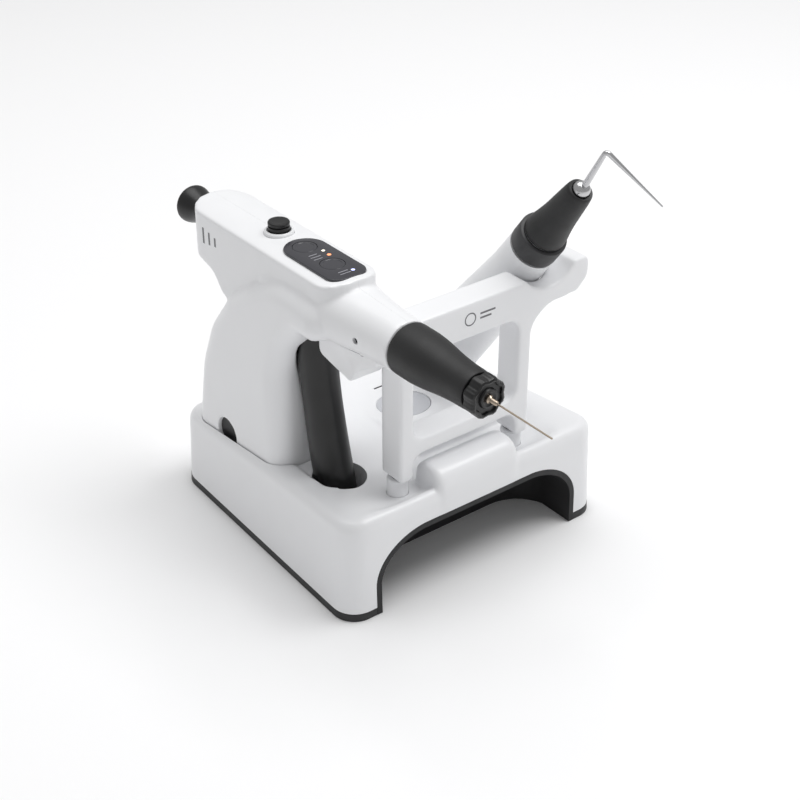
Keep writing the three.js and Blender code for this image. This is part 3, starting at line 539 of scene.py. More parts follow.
    @classmethod
    def skinned(cls, sections: Sequence[Section], sides: int = 64) -> "Form":
        """Skin a row of rings and close both ends."""
        form = cls()
        last = None
        for i, section in enumerate(sections):
            ends = i in (0, len(sections) - 1)
            ring = bmesh.ops.create_circle(form.bm, cap_ends=ends, segments=sides, radius=1)["verts"]
            for vert in ring:
                vert.co = section.point(math.atan2(vert.co.y, vert.co.x))
            edges = {e for v in ring for e in v.link_edges if e.other_vert(v) in ring}
            if last:
                bmesh.ops.bridge_loops(form.bm, edges=[*last, *edges])
            last = edges
        return form.outward()

    @classmethod
    def tube(cls, path: Sequence[Vector], radii: Sequence[float], sides: int = 40) -> "Form":
        """Skin round rings along a path in the plane across X."""
        sections = []
        for i, (point, radius) in enumerate(zip(path, radii)):
            way = (path[min(i + 1, len(path) - 1)] - path[max(i - 1, 0)]).normalized()
            side = way.orthogonal() if abs(way.x) > 0.5 else way.cross(X_AXIS)
            side.normalize()
            sections.append(Section(point, side.cross(way) * radius, side * radius))
        return cls.skinned(sections, sides)

    def outward(self) -> "Form":
        """Turn every face out."""
        bmesh.ops.recalc_face_normals(self.bm, faces=self.bm.faces)
        return self

    def placed(self, matrix: Matrix) -> "Form":
        """Turn and shift the form."""
        bmesh.ops.transform(self.bm, matrix=matrix, verts=self.bm.verts)
        return self

    def bent(self, change: Callable[[Vector], Vector]) -> "Form":
        """Move each vertex by a rule."""
        for vert in self.bm.verts:
            vert.co = change(vert.co)
        return self

    def rounded(
        self, width: float, segments: int = 4, test: Callable[[bmesh.types.BMEdge], bool] | None = None
    ) -> "Form":
        """Round the edges that a test picks, or every sharp edge.

        Args:
            width: The width of the rounding.
            segments: Its steps.
            test: Says whether an edge is rounded.

        Returns:
            The form.
        """
        sharp = [
            e
            for e in self.bm.edges
            if (test(e) if test else e.is_manifold and e.calc_face_angle(0.0) > math.radians(35))
        ]
        bmesh.ops.bevel(
            self.bm,
            geom=sharp,
            offset=width,
            offset_type="OFFSET",
            affect="EDGES",
            segments=segments,
            profile=0.5,
            material=-1,
            clamp_overlap=True,
        )
        return self

    def object(self, name: str) -> bpy.types.Object:
        """Turn the form into an object in metres."""
        bmesh.ops.scale(self.bm, vec=(MM, MM, MM), verts=self.bm.verts)
        mesh = bpy.data.meshes.new(name)
        self.bm.to_mesh(mesh)
        self.bm.free()
        thing = bpy.data.objects.new(name, mesh)
        bpy.context.scene.collection.objects.link(thing)
        return thing


class Moulding:
    """A body that is joined and cut from forms, and can be melted soft at its edges."""

    def __init__(self, name: str, first: Form) -> None:
        """Start from one form."""
        self.thing = first.object(name)

    def _apply(self, modifier: bpy.types.Modifier) -> None:
        """Keep what the modifier makes and drop it."""
        view = bpy.context.evaluated_depsgraph_get()
        view.update()
        mesh = bpy.data.meshes.new_from_object(self.thing.evaluated_get(view))
        old = self.thing.data
        self.thing.modifiers.remove(modifier)
        self.thing.data = mesh
        bpy.data.meshes.remove(old)

    def _combine(self, operation: str, forms: Sequence[Form]) -> "Moulding":
        """Join, cut or cross the body with forms, one after another."""
        for form in forms:
            tool = form.object(self.thing.name + "_tool")
            change = self.thing.modifiers.new("change", "BOOLEAN")
            change.operation = operation
            change.solver = "MANIFOLD"
            change.object = tool
            self._apply(change)
            bpy.data.objects.remove(tool)
        return self

    def join(self, *forms: Form) -> "Moulding":
        """Add forms."""
        return self._combine("UNION", forms)

    def cut(self, *forms: Form) -> "Moulding":
        """Take forms away."""
        return self._combine("DIFFERENCE", forms)

    def cross(self, *forms: Form) -> "Moulding":
        """Keep what lies inside every form."""
        return self._combine("INTERSECT", forms)

    def melt(self, cell: float, rounds: int) -> "Moulding":
        """Remesh the body evenly and soften its edges.

        Args:
            cell: Size of the new faces in millimetres.
            rounds: Rounds of smoothing.

        Returns:
            The moulding.
        """
        remesh = self.thing.modifiers.new("remesh", "REMESH")
        remesh.mode = "VOXEL"
        remesh.voxel_size = cell * MM
        self._apply(remesh)
        smooth = self.thing.modifiers.new("smooth", "SMOOTH")
        smooth.factor = 0.5
        smooth.iterations = rounds
        self._apply(smooth)
        return self

    def copy(self, name: str) -> "Moulding":
        """A second moulding with the same shape."""
        twin = Moulding.__new__(Moulding)
        twin.thing = self.thing.copy()
        twin.thing.data = self.thing.data.copy()
        twin.thing.name = name
        bpy.context.scene.collection.objects.link(twin.thing)
        return twin


@dataclass
class Dresser:
    """Gives pieces their finish and body, and reports them."""

    frame: dict
    slots: dict[str, str] = field(init=False)
    bodies: dict[str, str] = field(init=False)

    def __post_init__(self) -> None:
        """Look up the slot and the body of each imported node."""
        record = self.frame["record"]
        self.slots = {part["node"]: part["material_slot"] for part in record["subparts"]}
        self.bodies = {node: body for body, nodes in record["behaviour"]["bodies"].items() for node in nodes}

    @staticmethod
    def shade(thing: bpy.types.Object, angle: float = 32.0) -> None:
        """Shade smooth, but keep edges sharper than angle degrees."""
        thing.data.shade_smooth()
        thing.data.set_sharp_from_angle(angle=math.radians(angle))

    def finish(
        self, thing: bpy.types.Object, finish: Finish, body: str, slot: str, *nodes: str, angle: float = 32.0
    ) -> None:
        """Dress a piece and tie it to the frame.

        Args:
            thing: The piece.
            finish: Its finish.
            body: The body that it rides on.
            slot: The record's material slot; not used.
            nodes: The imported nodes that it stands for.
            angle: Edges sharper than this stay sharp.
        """
        thing.data.materials.clear()
        thing.data.materials.append(finish.material())
        self.shade(thing, angle)
        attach(thing, body)
        if nodes:
            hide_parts(*nodes)
        log.info("%s: %d faces on %s", thing.name, len(thing.data.polygons), body)

    def form(self, name: str, form: Form, finish: Finish, body: str, slot: str, *nodes: str) -> None:
        """Make a piece from a form and dress it."""
        self.finish(form.object(name), finish, body, slot, *nodes)

    def skin(self, node: str, shape: Form | Moulding, finish: Finish, angle: float = 32.0) -> None:
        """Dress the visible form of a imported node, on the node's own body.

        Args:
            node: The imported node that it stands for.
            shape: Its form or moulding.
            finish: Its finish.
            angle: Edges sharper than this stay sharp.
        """
        thing = shape.thing if isinstance(shape, Moulding) else shape.object(node + "_skin")
        self.finish(thing, finish, self.bodies[node], self.slots[node], node, angle=angle)

    def hidden(self) -> None:
        """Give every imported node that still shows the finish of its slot."""
        for name, thing in self.frame["nodes"].items():
            if thing.hide_render:
                continue
            thing.data.materials.clear()
            thing.data.materials.append(SLOT_FINISH[self.slots[name]].material())


@dataclass
class ChargingBase:
    """The base with its cover, scoop, feet, disc, light and inlet."""

    dresser: Dresser
    front_corner: float = 9.2
    back_corner: float = 11.0
    back_inset: float = 4.2
    edge_round: float = 4.5
    draft: float = 1.4
    front_height: float = 42.0
    back_height: float = 33.0
    half_width: float = 61.6
    half_depth: float = 61.5
    cover: float = 3.0
    floor: float = 36.8
    liner: float = 2.2
    cell: float = 0.85
    seam: float = 0.15
    sky: float = 70.0  # above everything that is cut from the top

    def top(self, y: float) -> float:
        """Height of the sloping top at y."""
        run = (y + self.half_depth) / (2 * self.half_depth)
        return self.front_height + (self.back_height - self.front_height) * run

    def block(self, low: float, inset: float = 0.0, top_round: bool = True) -> Form:
        """The base's outer block from a height up, with its draft and sloping top."""
        w, d = self.half_width - inset, self.half_depth - inset
        b = w - self.back_inset
        plan = arc_corners(
            [
                (-w, -d, self.front_corner - inset), (w, -d, self.front_corner - inset),
                (b, d, self.back_corner - inset), (-b, d, self.back_corner - inset),
            ],
            14,
        )
        high = self.front_height - inset
        form = Form.prism(plan, low, high)
        if top_round:
            form.rounded(
                self.edge_round,
                8,
                lambda e: all(v.co.z > high - 0.01 for v in e.verts) and e.calc_face_angle(0.0) > 0.5,
            )

        def shaped(p: Vector) -> Vector:
            """Lean the walls in and lower the back."""
            rise = max(p.z, 0) / high
            return Vector(
                (
                    p.x * (1 - rise * self.draft / w),
                    p.y * (1 - rise * self.draft / d),
                    p.z - rise * (self.front_height - self.top(p.y)),
                )
            )

        return form.bent(shaped)

    def scoop(self, name: str, grow: float) -> Moulding:
        """The finger scoop under the front edge, grown by a wall."""
        front = -self.half_depth
        half, top, spring, flat = 46.1 + grow, 28.5 + grow, 12.0, 24.0
        reach = 28.0 + grow
        arc = [math.pi / 2 * k / 20 for k in range(21)]
        wide, tall = half - flat, top - spring
        right = [Vector((flat + wide * math.cos(a), spring + tall * math.sin(a))) for a in arc]
        left = [Vector((-p.x, p.y)) for p in reversed(right)]
        mouth = [Vector((half, -1)), *right, *left, Vector((-half, -1))]
        side = [Vector((front + reach * math.cos(a), top * math.sin(a))) for a in arc]
        side = [Vector((front - 2, -1)), Vector((front + reach, -1)), *side, Vector((front - 2, top))]
        plan = rounded(-half - 1, front - 40, half + 1, front + reach, 18)
        made = Moulding(name, Form.prism(mouth, front - 2, front + reach + 1, Plane.FRONT))
        return made.cross(Form.prism(side, -half - 2, half + 2, Plane.SIDE), Form.prism(plan, -1, top + 1))

    def cut_scoop(self, body: Moulding, grow: float) -> None:
        """Cut the grown scoop out of a body."""
        tool = self.scoop("scoop_tool", grow)
        form = Form()
        form.bm.from_mesh(tool.thing.data)
        bmesh.ops.scale(form.bm, vec=(1 / MM, 1 / MM, 1 / MM), verts=form.bm.verts)
        bpy.data.objects.remove(tool.thing)
        body.cut(form)

    def shell(self) -> None:
        """The white shell with its bays, pockets and hump."""
        gun, pen, grip = Box("gun_shell_left"), Box("pen_tail_cap"), Box("front_grip")
        gun_x = Box("nose_cap").mid.x
        pen_x = pen.mid.x
        sockets = [Box("rack_socket_left"), Box("rack_socket_right")]
        gap = self.seam
        front = -self.half_depth
        body = Moulding("base_shell_skin", self.block(-6))
        floor, sky = self.floor, self.sky

        def bay_floor(x: float, y: float) -> float:
            """Run the front bay's floor up into the top at its left, right and front."""
            side = (-x - 34) / 21 if x < 0 else (x - 31) / 17
            run = 1 - (1 - ease(side)) * (1 - ease((-y - 49.5) / 10.5))
            return floor + run * (self.top(y) + 0.6 - floor)

        body.cut(
            Form.prism(rounded(gun_x - 9.8, -33.5, gun_x + 33.7, 52.0, 6), floor, sky),
            Form.ramp((-57.5, -60.6), (52, -33.0), sky, bay_floor),
        )
        profile = [Vector((front + 0.7, floor - 5)), Vector((front + 16.5, floor - 5))]
        middle, half, spring = front + 9.0, 8.3, floor + 2.5
        profile += [
            Vector(
                (
                    middle + half * math.copysign(abs(math.cos(a)) ** 0.8, math.cos(a)),
                    spring + 9.1 * math.sin(a) ** 0.8,
                )
            )
            for a in [math.pi * k / 24 for k in range(25)]
        ]
        body.join(Form.pillow(profile, -18.8, 18.8, 2.2, Plane.SIDE, 5))
        body.melt(self.cell, 9)
        pocket = rounded(gun_x - 17.0, -9.5, gun_x + 17.0, 52.0, 9.5)
        body.cut(
            Form.block((-90, -90, -9), (90, 90, self.cover + self.seam)),
            Form.prism(pocket, gun.low.z - 0.8, sky),
            Form.turned([(22.5, 10.3), (sky, 10.3)], Vector((gun_x, -24.7, 0)), Z_AXIS),
            Form.turned([(22.5, 8.1), (sky, 8.1)], Vector((gun_x, -21.4, 0)), Z_AXIS),
            Form.prism(
                rounded(pen_x - 13, pen.high.y - 34.0, pen_x + 13, pen.high.y + 0.9, 11), pen.low.z - 0.5, sky
            ),
        )
        self.cut_scoop(body, self.liner + self.seam)
        disc, light, inlet = Box("centre_disc"), Box("status_light"), Box("dc_inlet")
        body.cut(
            Form.turned([(disc.low.z, 11.1), (sky, 11.1)], Vector((disc.mid.x, disc.mid.y, 0)), Z_AXIS),
            Form.block(
                (light.low.x - gap, light.low.y - gap, light.low.z), (light.high.x + gap, light.high.y + gap, sky)
            ),
            Form.rod(inlet.mid + Vector((0, -4, 0)), inlet.mid + Vector((0, 20, 0)), 3.4),
            *(Form.turned([(33.2, 4.15), (sky, 4.15)], Vector((*s.mid.xy, 0)), Z_AXIS) for s in sockets),
        )
        self.dresser.skin("base_shell", body, WHITE)

    def cover_and_liner(self) -> None:
        """The black bottom cover and the liner of the scoop."""
        cover = Moulding("bottom_cover_skin", self.block(0, inset=0.15, top_round=False))
        cover.cross(Form.block((-90, -90, -1), (90, 90, self.cover)))
        self.cut_scoop(cover, self.liner + self.seam)
        for side in ("front_left", "front_right", "back_right", "back_left"):
            foot = Box("rubber_foot_" + side)
            place = Vector((foot.mid.x, foot.mid.y, 0))
            cover.cut(Form.turned([(-1, 5.3), (1.9, 5.3)], place, Z_AXIS))
            profile = [(0.0, 3.9), (0.25, 4.5), (0.8, 4.95), (1.6, 5.0)]
            pad = Form.turned([(0.5, 0), (0.5, 2.8), (0.0, 3.2), *profile], place, Z_AXIS)
            self.dresser.form("foot_pad_" + side, pad, FOOT, "base", "foot_rubber", "rubber_foot_" + side)
        self.dresser.skin("bottom_cover", cover, COVER)
        liner = self.scoop("arch_liner_skin", self.liner)
        self.cut_scoop(liner, 0.0)
        liner.cross(self.block(0, inset=0.05, top_round=False))
        self.dresser.skin("arch_liner", liner, LINER_AND_NOTCH_SHADE)

    def fittings(self) -> None:
        """The disc, status light, inlet and rack sockets."""
        disc, light, inlet = Box("centre_disc"), Box("status_light"), Box("dc_inlet")
        lift = self.top(disc.mid.y) - disc.low.z

        def tilted(p: Vector) -> Vector:
            """Follow the sloping top."""
            return Vector((p.x, p.y, p.z + (self.top(p.y) - self.top(disc.mid.y)) * (p.z - disc.low.z) / lift))

        profile = [(0, 10.9), (lift - 0.3, 10.9), (lift - 0.05, 10.65)]
        pad = Form.turned(profile, Vector((*disc.mid.xy, disc.low.z)), Z_AXIS)
        self.dresser.skin("centre_disc", pad.bent(tilted), GREY)
        bar = Form.block(light.low, light.high).rounded(0.25, 3)
        self.dresser.skin("status_light", bar, BLACK)
        start = Vector((inlet.mid.x, inlet.low.y, inlet.mid.z))
        end = inlet.high.y - inlet.low.y
        barrel = [(0, 3.2), (end - 0.3, 3.2), (end, 2.9), (end, 1.9), (end - 0.3, 1.6), (3.0, 1.6)]
        pin = [(3.0, 0.45), (7.2, 0.45), (7.5, 0.2)]
        self.dresser.skin("dc_inlet", Form.turned([*barrel, *pin], start, Y_AXIS), BLACK)
        for side in ("left", "right"):
            sleeve = Box("rack_socket_" + side)
            high = sleeve.high.z
            profile = [(sleeve.low.z, 4.0), (high - 0.4, 4.0), (high, 3.6), (high, 2.1), (high - 6, 2.1)]
            form = Form.turned(profile, Vector((sleeve.mid.x, sleeve.mid.y, 0)), Z_AXIS)
            self.dresser.skin("rack_socket_" + side, form, WHITE)

    def build(self) -> None:
        """Build the whole base."""
        self.shell()
        self.cover_and_liner()
        self.fittings()


@dataclass
class Rack:
    """The bridge-shaped rack that the gun leans by and the pen lies in."""

    dresser: Dresser
    upright: float = 6.0
    lower_beam: tuple[float, float] = (54.0, 60.0)
    beam: tuple[float, float] = (94.0, 108.0)
    dish: float = 14.0
    dish_floor: float = 102.5
    cell: float = 0.5

    def build(self) -> None:
        """Build the frame and its printed mark."""
        whole = Box("rack_frame")
        y0, y1 = whole.low.y, whole.high.y
        left, tip, foot = whole.low.x, whole.high.x, whole.low.z
        right = Box("rack_socket_right").mid.x + self.upright / 2
        pen_x = Box("pen_cone").mid.x
        gun = Box("nose_cap").mid
        under = self.beam[0] + 1.5
        outline = arc_corners(
            [
                (left, foot, 1.0), (left + self.upright, foot, 1.0),
                (left + self.upright, self.lower_beam[0], 5),
                (right - self.upright, self.lower_beam[0], 5), (right - self.upright, foot, 1.0),
                (right, foot, 1.0), (right, under - 6, 9), (right + 8, under, 9),
                (tip - 5, under + 0.8, 4), (tip, under + 6, 4.5), (tip, whole.high.z, 2.4),
                (tip - 5.4, whole.high.z, 2.4), (pen_x - self.dish, self.beam[1], 6),
                (left, self.beam[1], 7),
            ]
        )
        window = rounded(left + self.upright, self.lower_beam[1], right - self.upright, self.beam[0], 5.5)
        body = Moulding("rack_frame_skin", Form.prism(outline, y0, y1, Plane.FRONT))
        middle = Vector((pen_x, (y0 + y1) / 2, self.dish_floor + self.dish))
        body.cut(
            Form.prism(window, y0 - 1, y1 + 1, Plane.FRONT),
            Form.rod(middle - Y_AXIS * 20, middle + Y_AXIS * 20, self.dish, 96),
            Form.rod(gun + Y_AXIS * 60, gun, 12.2, 72),
            Pen.hull(0.3),
        )
        body.melt(self.cell, 32)
        self.dresser.skin("rack_frame", body, WHITE)
        self.mark(y0)

    def mark(self, front: float) -> None:
        """A plain printed mark on the top beam: a ring and two bars."""
        z = sum(self.beam) / 2 + 0.6
        ring = Form()
        bmesh.ops.create_circle(ring.bm, cap_ends=False, segments=48, radius=2.6)
        bmesh.ops.create_circle(ring.bm, cap_ends=False, segments=48, radius=2.1)
        bmesh.ops.bridge_loops(ring.bm, edges=ring.bm.edges)
        ring.placed(Matrix.Translation((0.5, front - 0.02, z)) @ Plane.FRONT.value)
        self.dresser.form("rack_mark_ring", ring, MARK, "base", "black_plastic")
        for i, width in enumerate((7.0, 5.2)):
            bar = Form()
            bmesh.ops.create_grid(bar.bm, x_segments=1, y_segments=1, size=0.5)
            bar.placed(
                Matrix.Translation((5.0 + width / 2, front - 0.02, z + 0.9 - 1.8 * i))
                @ Plane.FRONT.value
                @ Matrix.Diagonal((width, 0.75, 1, 1))
            )
            self.dresser.form(f"rack_mark_bar_{i + 1}", bar, MARK, "base", "black_plastic")


@dataclass
class Gun:
    """The backfill gun: housing, grip, trigger, panel, nose and knob."""

    dresser: Dresser
    block_half: float = 12.0
    crown: float = 2.2
    cell: float = 0.62
    handle_half: float = 16.5
    handle_round: float = 8.0
    seam: float = 0.02
    slot_gap: float = 0.5
    screw: tuple[float, float] = (-50.8, 109.4)
    notch: tuple[float, float] = (27.0, 36.0)
    x: float = field(init=False)
    axis: float = field(init=False)
    top: float = field(init=False)

    def __post_init__(self) -> None:
        """Take the gun's place from the frame."""
        nose = Box("nose_cap")
        self.x = nose.mid.x
        self.axis = nose.mid.z
        self.top = Box("gun_shell_left").high.z

    def at(self, y: float, z: float, x: float = 0.0) -> Vector:
        """A point by its distance from the gun's own plane."""
        return Vector((self.x + x, y, z))

    def slab(self, outline: Sequence[Vector], half: float, radius: float) -> Form:
        """A side outline given thickness about the gun's plane, with round edges."""
        return Form.pillow(outline, self.x - half, self.x + half, radius, Plane.SIDE, 9)

    def handle(self) -> Form:
        """The handle and shoulder: a thick plate with wide round edges."""
        outline = arc_corners(
            [
                (-9, 14, 9.5), (51.5, 14, 9.5), (51.8, 34, 30), (46.2, 62, 40), (38.4, 80, 30),
                (24.5, 97.5, 16), (10, 108.2, 30), (-10, 116.4, 30), (-36.4, 116.0, 8.4),
                (-36.4, 98.4, 8.4), (-22, 99.2, 5), (-12.4, 88.5, 12), (-8.2, 76, 26), (-8.8, 50, 60),
            ],
            12,
        )
        return self.slab(outline, self.handle_half, self.handle_round)

    def front_body(self) -> Form:
        """The body from the shoulder to the nose as a skin of sections along Y."""
        rows = [
            # y, half width, low, high, squareness
            (4.0, 12.6, 98.0, 119.0, 2.5), (-10.0, 14.0, 98.4, 119.6, 2.4),
            (-22.0, 14.2, 98.6, 120.6, 2.3), (-32.0, 13.3, 98.8, 121.0, 2.2),
            (-42.0, 11.9, 99.0, 120.8, 2.1), (-51.0, 10.7, 99.5, 120.3, 2.0),
            (-59.0, 9.9, 100.0, 119.9, 2.0), (-65.9, 9.6, 100.4, 119.6, 2.0),
        ]
        rings = [
            Section(self.at(y, (low + high) / 2), X_AXIS * half, Z_AXIS * (high - low) / 2, power)
            for y, half, low, high, power in eased(rows, 6)
        ]
        return Form.skinned(rings, 72)

    def block(self) -> Moulding:
        """The raised upper block with its chin and crowned top."""
        rear = Box("gun_shell_left").high.y
        plan = arc_corners(
            [
                (self.x - self.block_half, -38.6, 9.5), (self.x + self.block_half, -38.6, 9.5),
                (self.x + self.block_half, rear, 9.5), (self.x - self.block_half, rear, 9.5),
            ],
            14,
        )
        chin = arc_corners(
            [
                (-50, 103, 0), (0, 97, 0), (30, 92, 7), (37.5, 100.6, 9), (rear + 1, 104.8, 0),
                (rear + 1, 140, 0), (-50, 140, 0),
            ]
        )
        reach = self.block_half + 1
        arch = [
            Vector((self.x + reach * k / 12, self.top - self.crown * (k / 12) ** 2)) for k in range(12, -13, -1)
        ]
        arch += [Vector((self.x - reach, 80)), Vector((self.x + reach, 80))]
        body = Moulding("gun_housing", Form.prism(plan, 84, self.top + 1))
        return body.cross(
            Form.prism(chin, self.x - reach, self.x + reach, Plane.SIDE),
            Form.prism(arch, -60, 70, Plane.FRONT),
        )

    def grip_path(self, grow: float) -> Form:
        """The front grip's tube, grown by a clearance."""
        rows = [
            # y, z, radius
            (-23.4, 25.6, 7.3), (-21.9, 34.0, 7.6), (-19.6, 43.0, 7.6), (-17.6, 52.0, 7.5),
            (-15.4, 64.0, 7.3), (-13.6, 76.0, 7.3), (-12.6, 86.0, 7.5), (-12.2, 95.2, 7.5),
        ]
        line = eased(rows, 6)
        return Form.tube([self.at(y, z) for y, z, _ in line], [r + grow for *_, r in line], 56)

    def trigger_outline(self, grow: float) -> list[Vector]:
        """The side outline of the trigger, grown by a clearance."""
        rear, front = Box("trigger").high.y + grow, Box("trigger").low.y - grow
        return arc_corners(
            [
                (rear, 91.6 - grow, 3.4), (-30, 90.2 - grow, 8), (-41.8, 87.9 - grow, 1.8),
                (-47.5, 94.6 - grow, 8), (front, 101.0 - grow, 3), (front, 106.2 + grow, 2.5),
                (-46, 106.2 + grow, 3), (-37, 102.4 + grow, 3), (rear, 98.6 + grow, 3),
            ]
        )

    def pulled_outline(self, grow: float, degrees: float) -> list[Vector]:
        """The trigger's outline turned about its pin, as far as it is pulled."""
        pin = Box("trigger_pin").mid
        pivot, turn = Vector((pin.y, pin.z)), Matrix.Rotation(math.radians(degrees), 2)
        return [pivot + turn @ (Vector(point) - pivot) for point in self.trigger_outline(grow)]

    def skirt_outline(self) -> list[Vector]:
        """What is open beside the trigger, under the barrel's sides."""
        return arc_corners(
            [
                (-20.8, 94, 0), (-26, 99.4, 4), (-33, 102.2, 5), (-52, 103.2, 1), (-60.5, 100.4, 0),
                (-60, 90, 0), (-20.8, 90, 0),
            ]
        )

    def shells(self) -> None:
        """The two halves of the white housing."""
        x = self.x
        body = self.block().join(self.handle(), self.front_body())
        left, right = Box("trigger").low.x - self.slot_gap, Box("trigger").high.x + self.slot_gap
        body.cut(
            self.grip_path(0.45),
            Form.prism(self.trigger_outline(0.8), left, right, Plane.SIDE),
            Form.block((left, -46, 92), (right, -21.5, 104.6)),
            *(Form.prism(self.pulled_outline(1.0, degrees), left, right, Plane.SIDE) for degrees in (4, 8)),
            Form.prism(self.skirt_outline(), x - 20, x + 20, Plane.SIDE),
            Form.rod(self.at(*self.notch, -20), self.at(*self.notch, -13.6), 6.4),
        )
        body.melt(self.cell, 9)
        pin = Box("trigger_pin")
        panel, collar, knob = Box("control_panel"), Box("button_collar"), Box("plunger_rod")
        body.cut(
            Form.rod(Vector((pin.low.x - 0.1, *pin.mid.yz)), Vector((pin.high.x + 0.1, *pin.mid.yz)), 1.7, 32),
            *(Form.rod(self.at(*self.screw, s * 9.2), self.at(*self.screw, s * 20), 1.25, 32) for s in (-1, 1)),
            Form.prism(self.panel_plan(0.12), panel.low.z, self.top + 9),
            Form.rod(self.at(collar.mid.y, collar.low.z), self.at(collar.mid.y, self.top + 9), 5.65, 64),
            Form.rod(Vector((x, 45, knob.mid.z)), Vector((x, 80, knob.mid.z)), 2.3),
            Form.rod(self.at(-56, self.axis), self.at(-80, self.axis), 4.9),
        )
        twin = body.copy("gun_shell_right_skin")
        body.thing.name = "gun_shell_left_skin"
        body.cross(Form.block((x - 60, -140, -10), (x - self.seam, 140, 200)))
        twin.cross(Form.block((x + self.seam, -140, -10), (x + 60, 140, 200)))
        self.dresser.skin("gun_shell_left", body, WHITE)
        self.dresser.skin("gun_shell_right", twin, WHITE)

    def painted_recess_shade(self) -> None:
        """Painted shade: dark discs at the bottom of the screw holes and of the notch by the foot, standing in
        for the shade inside them.
        """
        for side, name in ((-1, "left"), (1, "right")):
            # a black disc painted as the shade at the bottom of each screw hole
            hole_shade = Form.rod(self.at(*self.screw, side * 9.25), self.at(*self.screw, side * 9.7), 1.2, 32)
            self.dresser.form("screw_hole_painted_shade_" + name, hole_shade, BLACK, "gun", "black_plastic")
        # a dark disc painted as the shade inside the notch by the foot
        notch_shade = Form.rod(self.at(*self.notch, -15.0), self.at(*self.notch, -13.7), 6.3, 64)
        self.dresser.form("notch_painted_shade", notch_shade, LINER_AND_NOTCH_SHADE, "gun", "black_plastic")

    def panel_plan(self, grow: float) -> list[Vector]:
        """The panel's outline: a full round at the rear and two round corners in front."""
        low, high = Box("control_panel").low, Box("control_panel").high
        half = (high.x - low.x) / 2
        return arc_corners(
            [
                (low.x - grow, low.y - grow, 5.2), (high.x + grow, low.y - grow, 5.2),
                (high.x + grow, high.y + grow, half + grow - 0.01),
                (low.x - grow, high.y + grow, half + grow - 0.01),
            ],
            16,
        )

    def panel(self) -> None:
        """The smoked panel with its keys, lights and marks."""
        low = Box("control_panel").low
        top = self.top + 0.1
        sheet = Moulding("control_panel_skin", Form.prism(self.panel_plan(0), low.z + 0.2, top).rounded(0.3, 3))
        keys = {"rear": Box("panel_key_rear"), "front": Box("panel_key_front")}
        for key in keys.values():
            sheet.cut(Form.rod(Vector((*key.mid.xy, low.z)), Vector((*key.mid.xy, top + 2)), 4.55, 56))
        self.dresser.skin("control_panel", sheet, FILM)
        for name, key in keys.items():
            rise = top - low.z
            profile = [(0.3, 4.4), (rise - 0.15, 4.4), (rise, 4.25), (rise + 0.02, 3.5)]
            profile += [(rise - 0.12, 3.3), (rise - 0.1, 0.0)]
            form = Form.turned(profile, Vector((*key.mid.xy, low.z)), Z_AXIS, 56)
            self.dresser.skin("panel_key_" + name, form, FILM)
        lights = {
            "white": (3.4, -13.4, WHITE_LED, 0.6),
            "amber": (3.2, -17.2, AMBER_LED, 0.75),
            "blue": (2.9, -31.6, BLUE_LED, 0.7),
        }
        for name, (dx, y, finish, size) in lights.items():
            dome = Form.turned([(-0.3, size), (0.02, size), (0.1, size * 0.6)], self.at(y, top, dx), Z_AXIS, 24)
            self.dresser.form("panel_light_" + name, dome, finish, "gun", "panel_film")
        self.marks(top)

    def marks(self, top: float) -> None:
        """Short generic dashes on the panel and the side."""
        places = [
            (-1.6, -14.2, 3.4), (-1.6, -16.0, 4.2), (-1.8, -17.8, 3.6), (-0.6, -30.6, 4.0),
            (-0.6, -32.2, 4.4),
        ]
        dashes = Form()
        for dx, y, width in places:
            bmesh.ops.create_grid(
                dashes.bm,
                x_segments=1,
                y_segments=1,
                size=0.5,
                matrix=Matrix.Translation(self.at(y, top + 0.02, dx)) @ Matrix.Diagonal((width, 0.42, 1, 1)),
            )
        self.dresser.form("panel_dashes", dashes, FILM_MARK, "gun", "panel_film")
        rear = Box("gun_shell_left").high.y
        side = Form()
        for k, height in enumerate((6.4, 5.0, 3.6)):
            bmesh.ops.create_grid(
                side.bm,
                x_segments=1,
                y_segments=1,
                size=0.5,
                matrix=Matrix.Translation(self.at(rear - 12.0 - 4.0 * k, 113.6, -self.block_half - 0.03))
                @ Matrix.Rotation(math.pi / 2, 4, "Y")
                @ Matrix.Diagonal((height, 1.1, 1, 1)),
            )
        self.dresser.form("side_mark", side, MARK, "gun", "black_plastic")

    def controls(self) -> None:
        """The grip, trigger, pin and top button."""
        self.dresser.skin("front_grip", self.grip_path(0), GRIP, angle=60)
        trigger = Box("trigger")
        half = trigger.high.x - self.x
        body = Form.pillow(self.trigger_outline(0), self.x - half, self.x + half, 1.3, Plane.SIDE, 4)
        lever = Moulding("trigger_skin", body)
        groove = arc_corners(
            [
                (-23, 97.2, 0), (-30, 99.6, 4), (-50, 102.0, 0), (-50, 103.6, 0), (-30, 101.6, 4),
                (-23, 99.0, 0),
            ]
        )
        for side in (-1, 1):
            ends = sorted((self.x + side * (half - 1.6), self.x + side * (half + 1)))
            lever.cut(Form.prism(groove, *ends, Plane.SIDE))
            dish = Form()
            bmesh.ops.create_uvsphere(dish.bm, u_segments=64, v_segments=40, radius=24)
            lever.cut(dish.placed(Matrix.Translation(self.at(-38.5, 93.2, side * (half + 23.0)))))
        pin = Box("trigger_pin")
        lever.cut(Form.rod(self.at(*pin.mid.yz, -20), self.at(*pin.mid.yz, 20), 1.7, 32))
        self.dresser.skin("trigger", lever, WHITE)
        length = pin.high.x - pin.low.x
        profile = [(0, 1.1), (0.3, 1.5), (length - 0.3, 1.5), (length, 1.1)]
        rod = Form.turned(profile, Vector((pin.low.x, *pin.mid.yz)), X_AXIS, 32)
        self.dresser.skin("trigger_pin", rod, STEEL)
        collar, button = Box("button_collar"), Box("top_button")
        high = collar.high.z - collar.low.z
        ring = [(0, 4.4), (high - 0.2, 4.4), (high, 4.6), (high, 4.9), (high - 0.3, 5.3), (high - 0.75, 5.5)]
        ring += [(0, 5.5), (0, 4.4)]
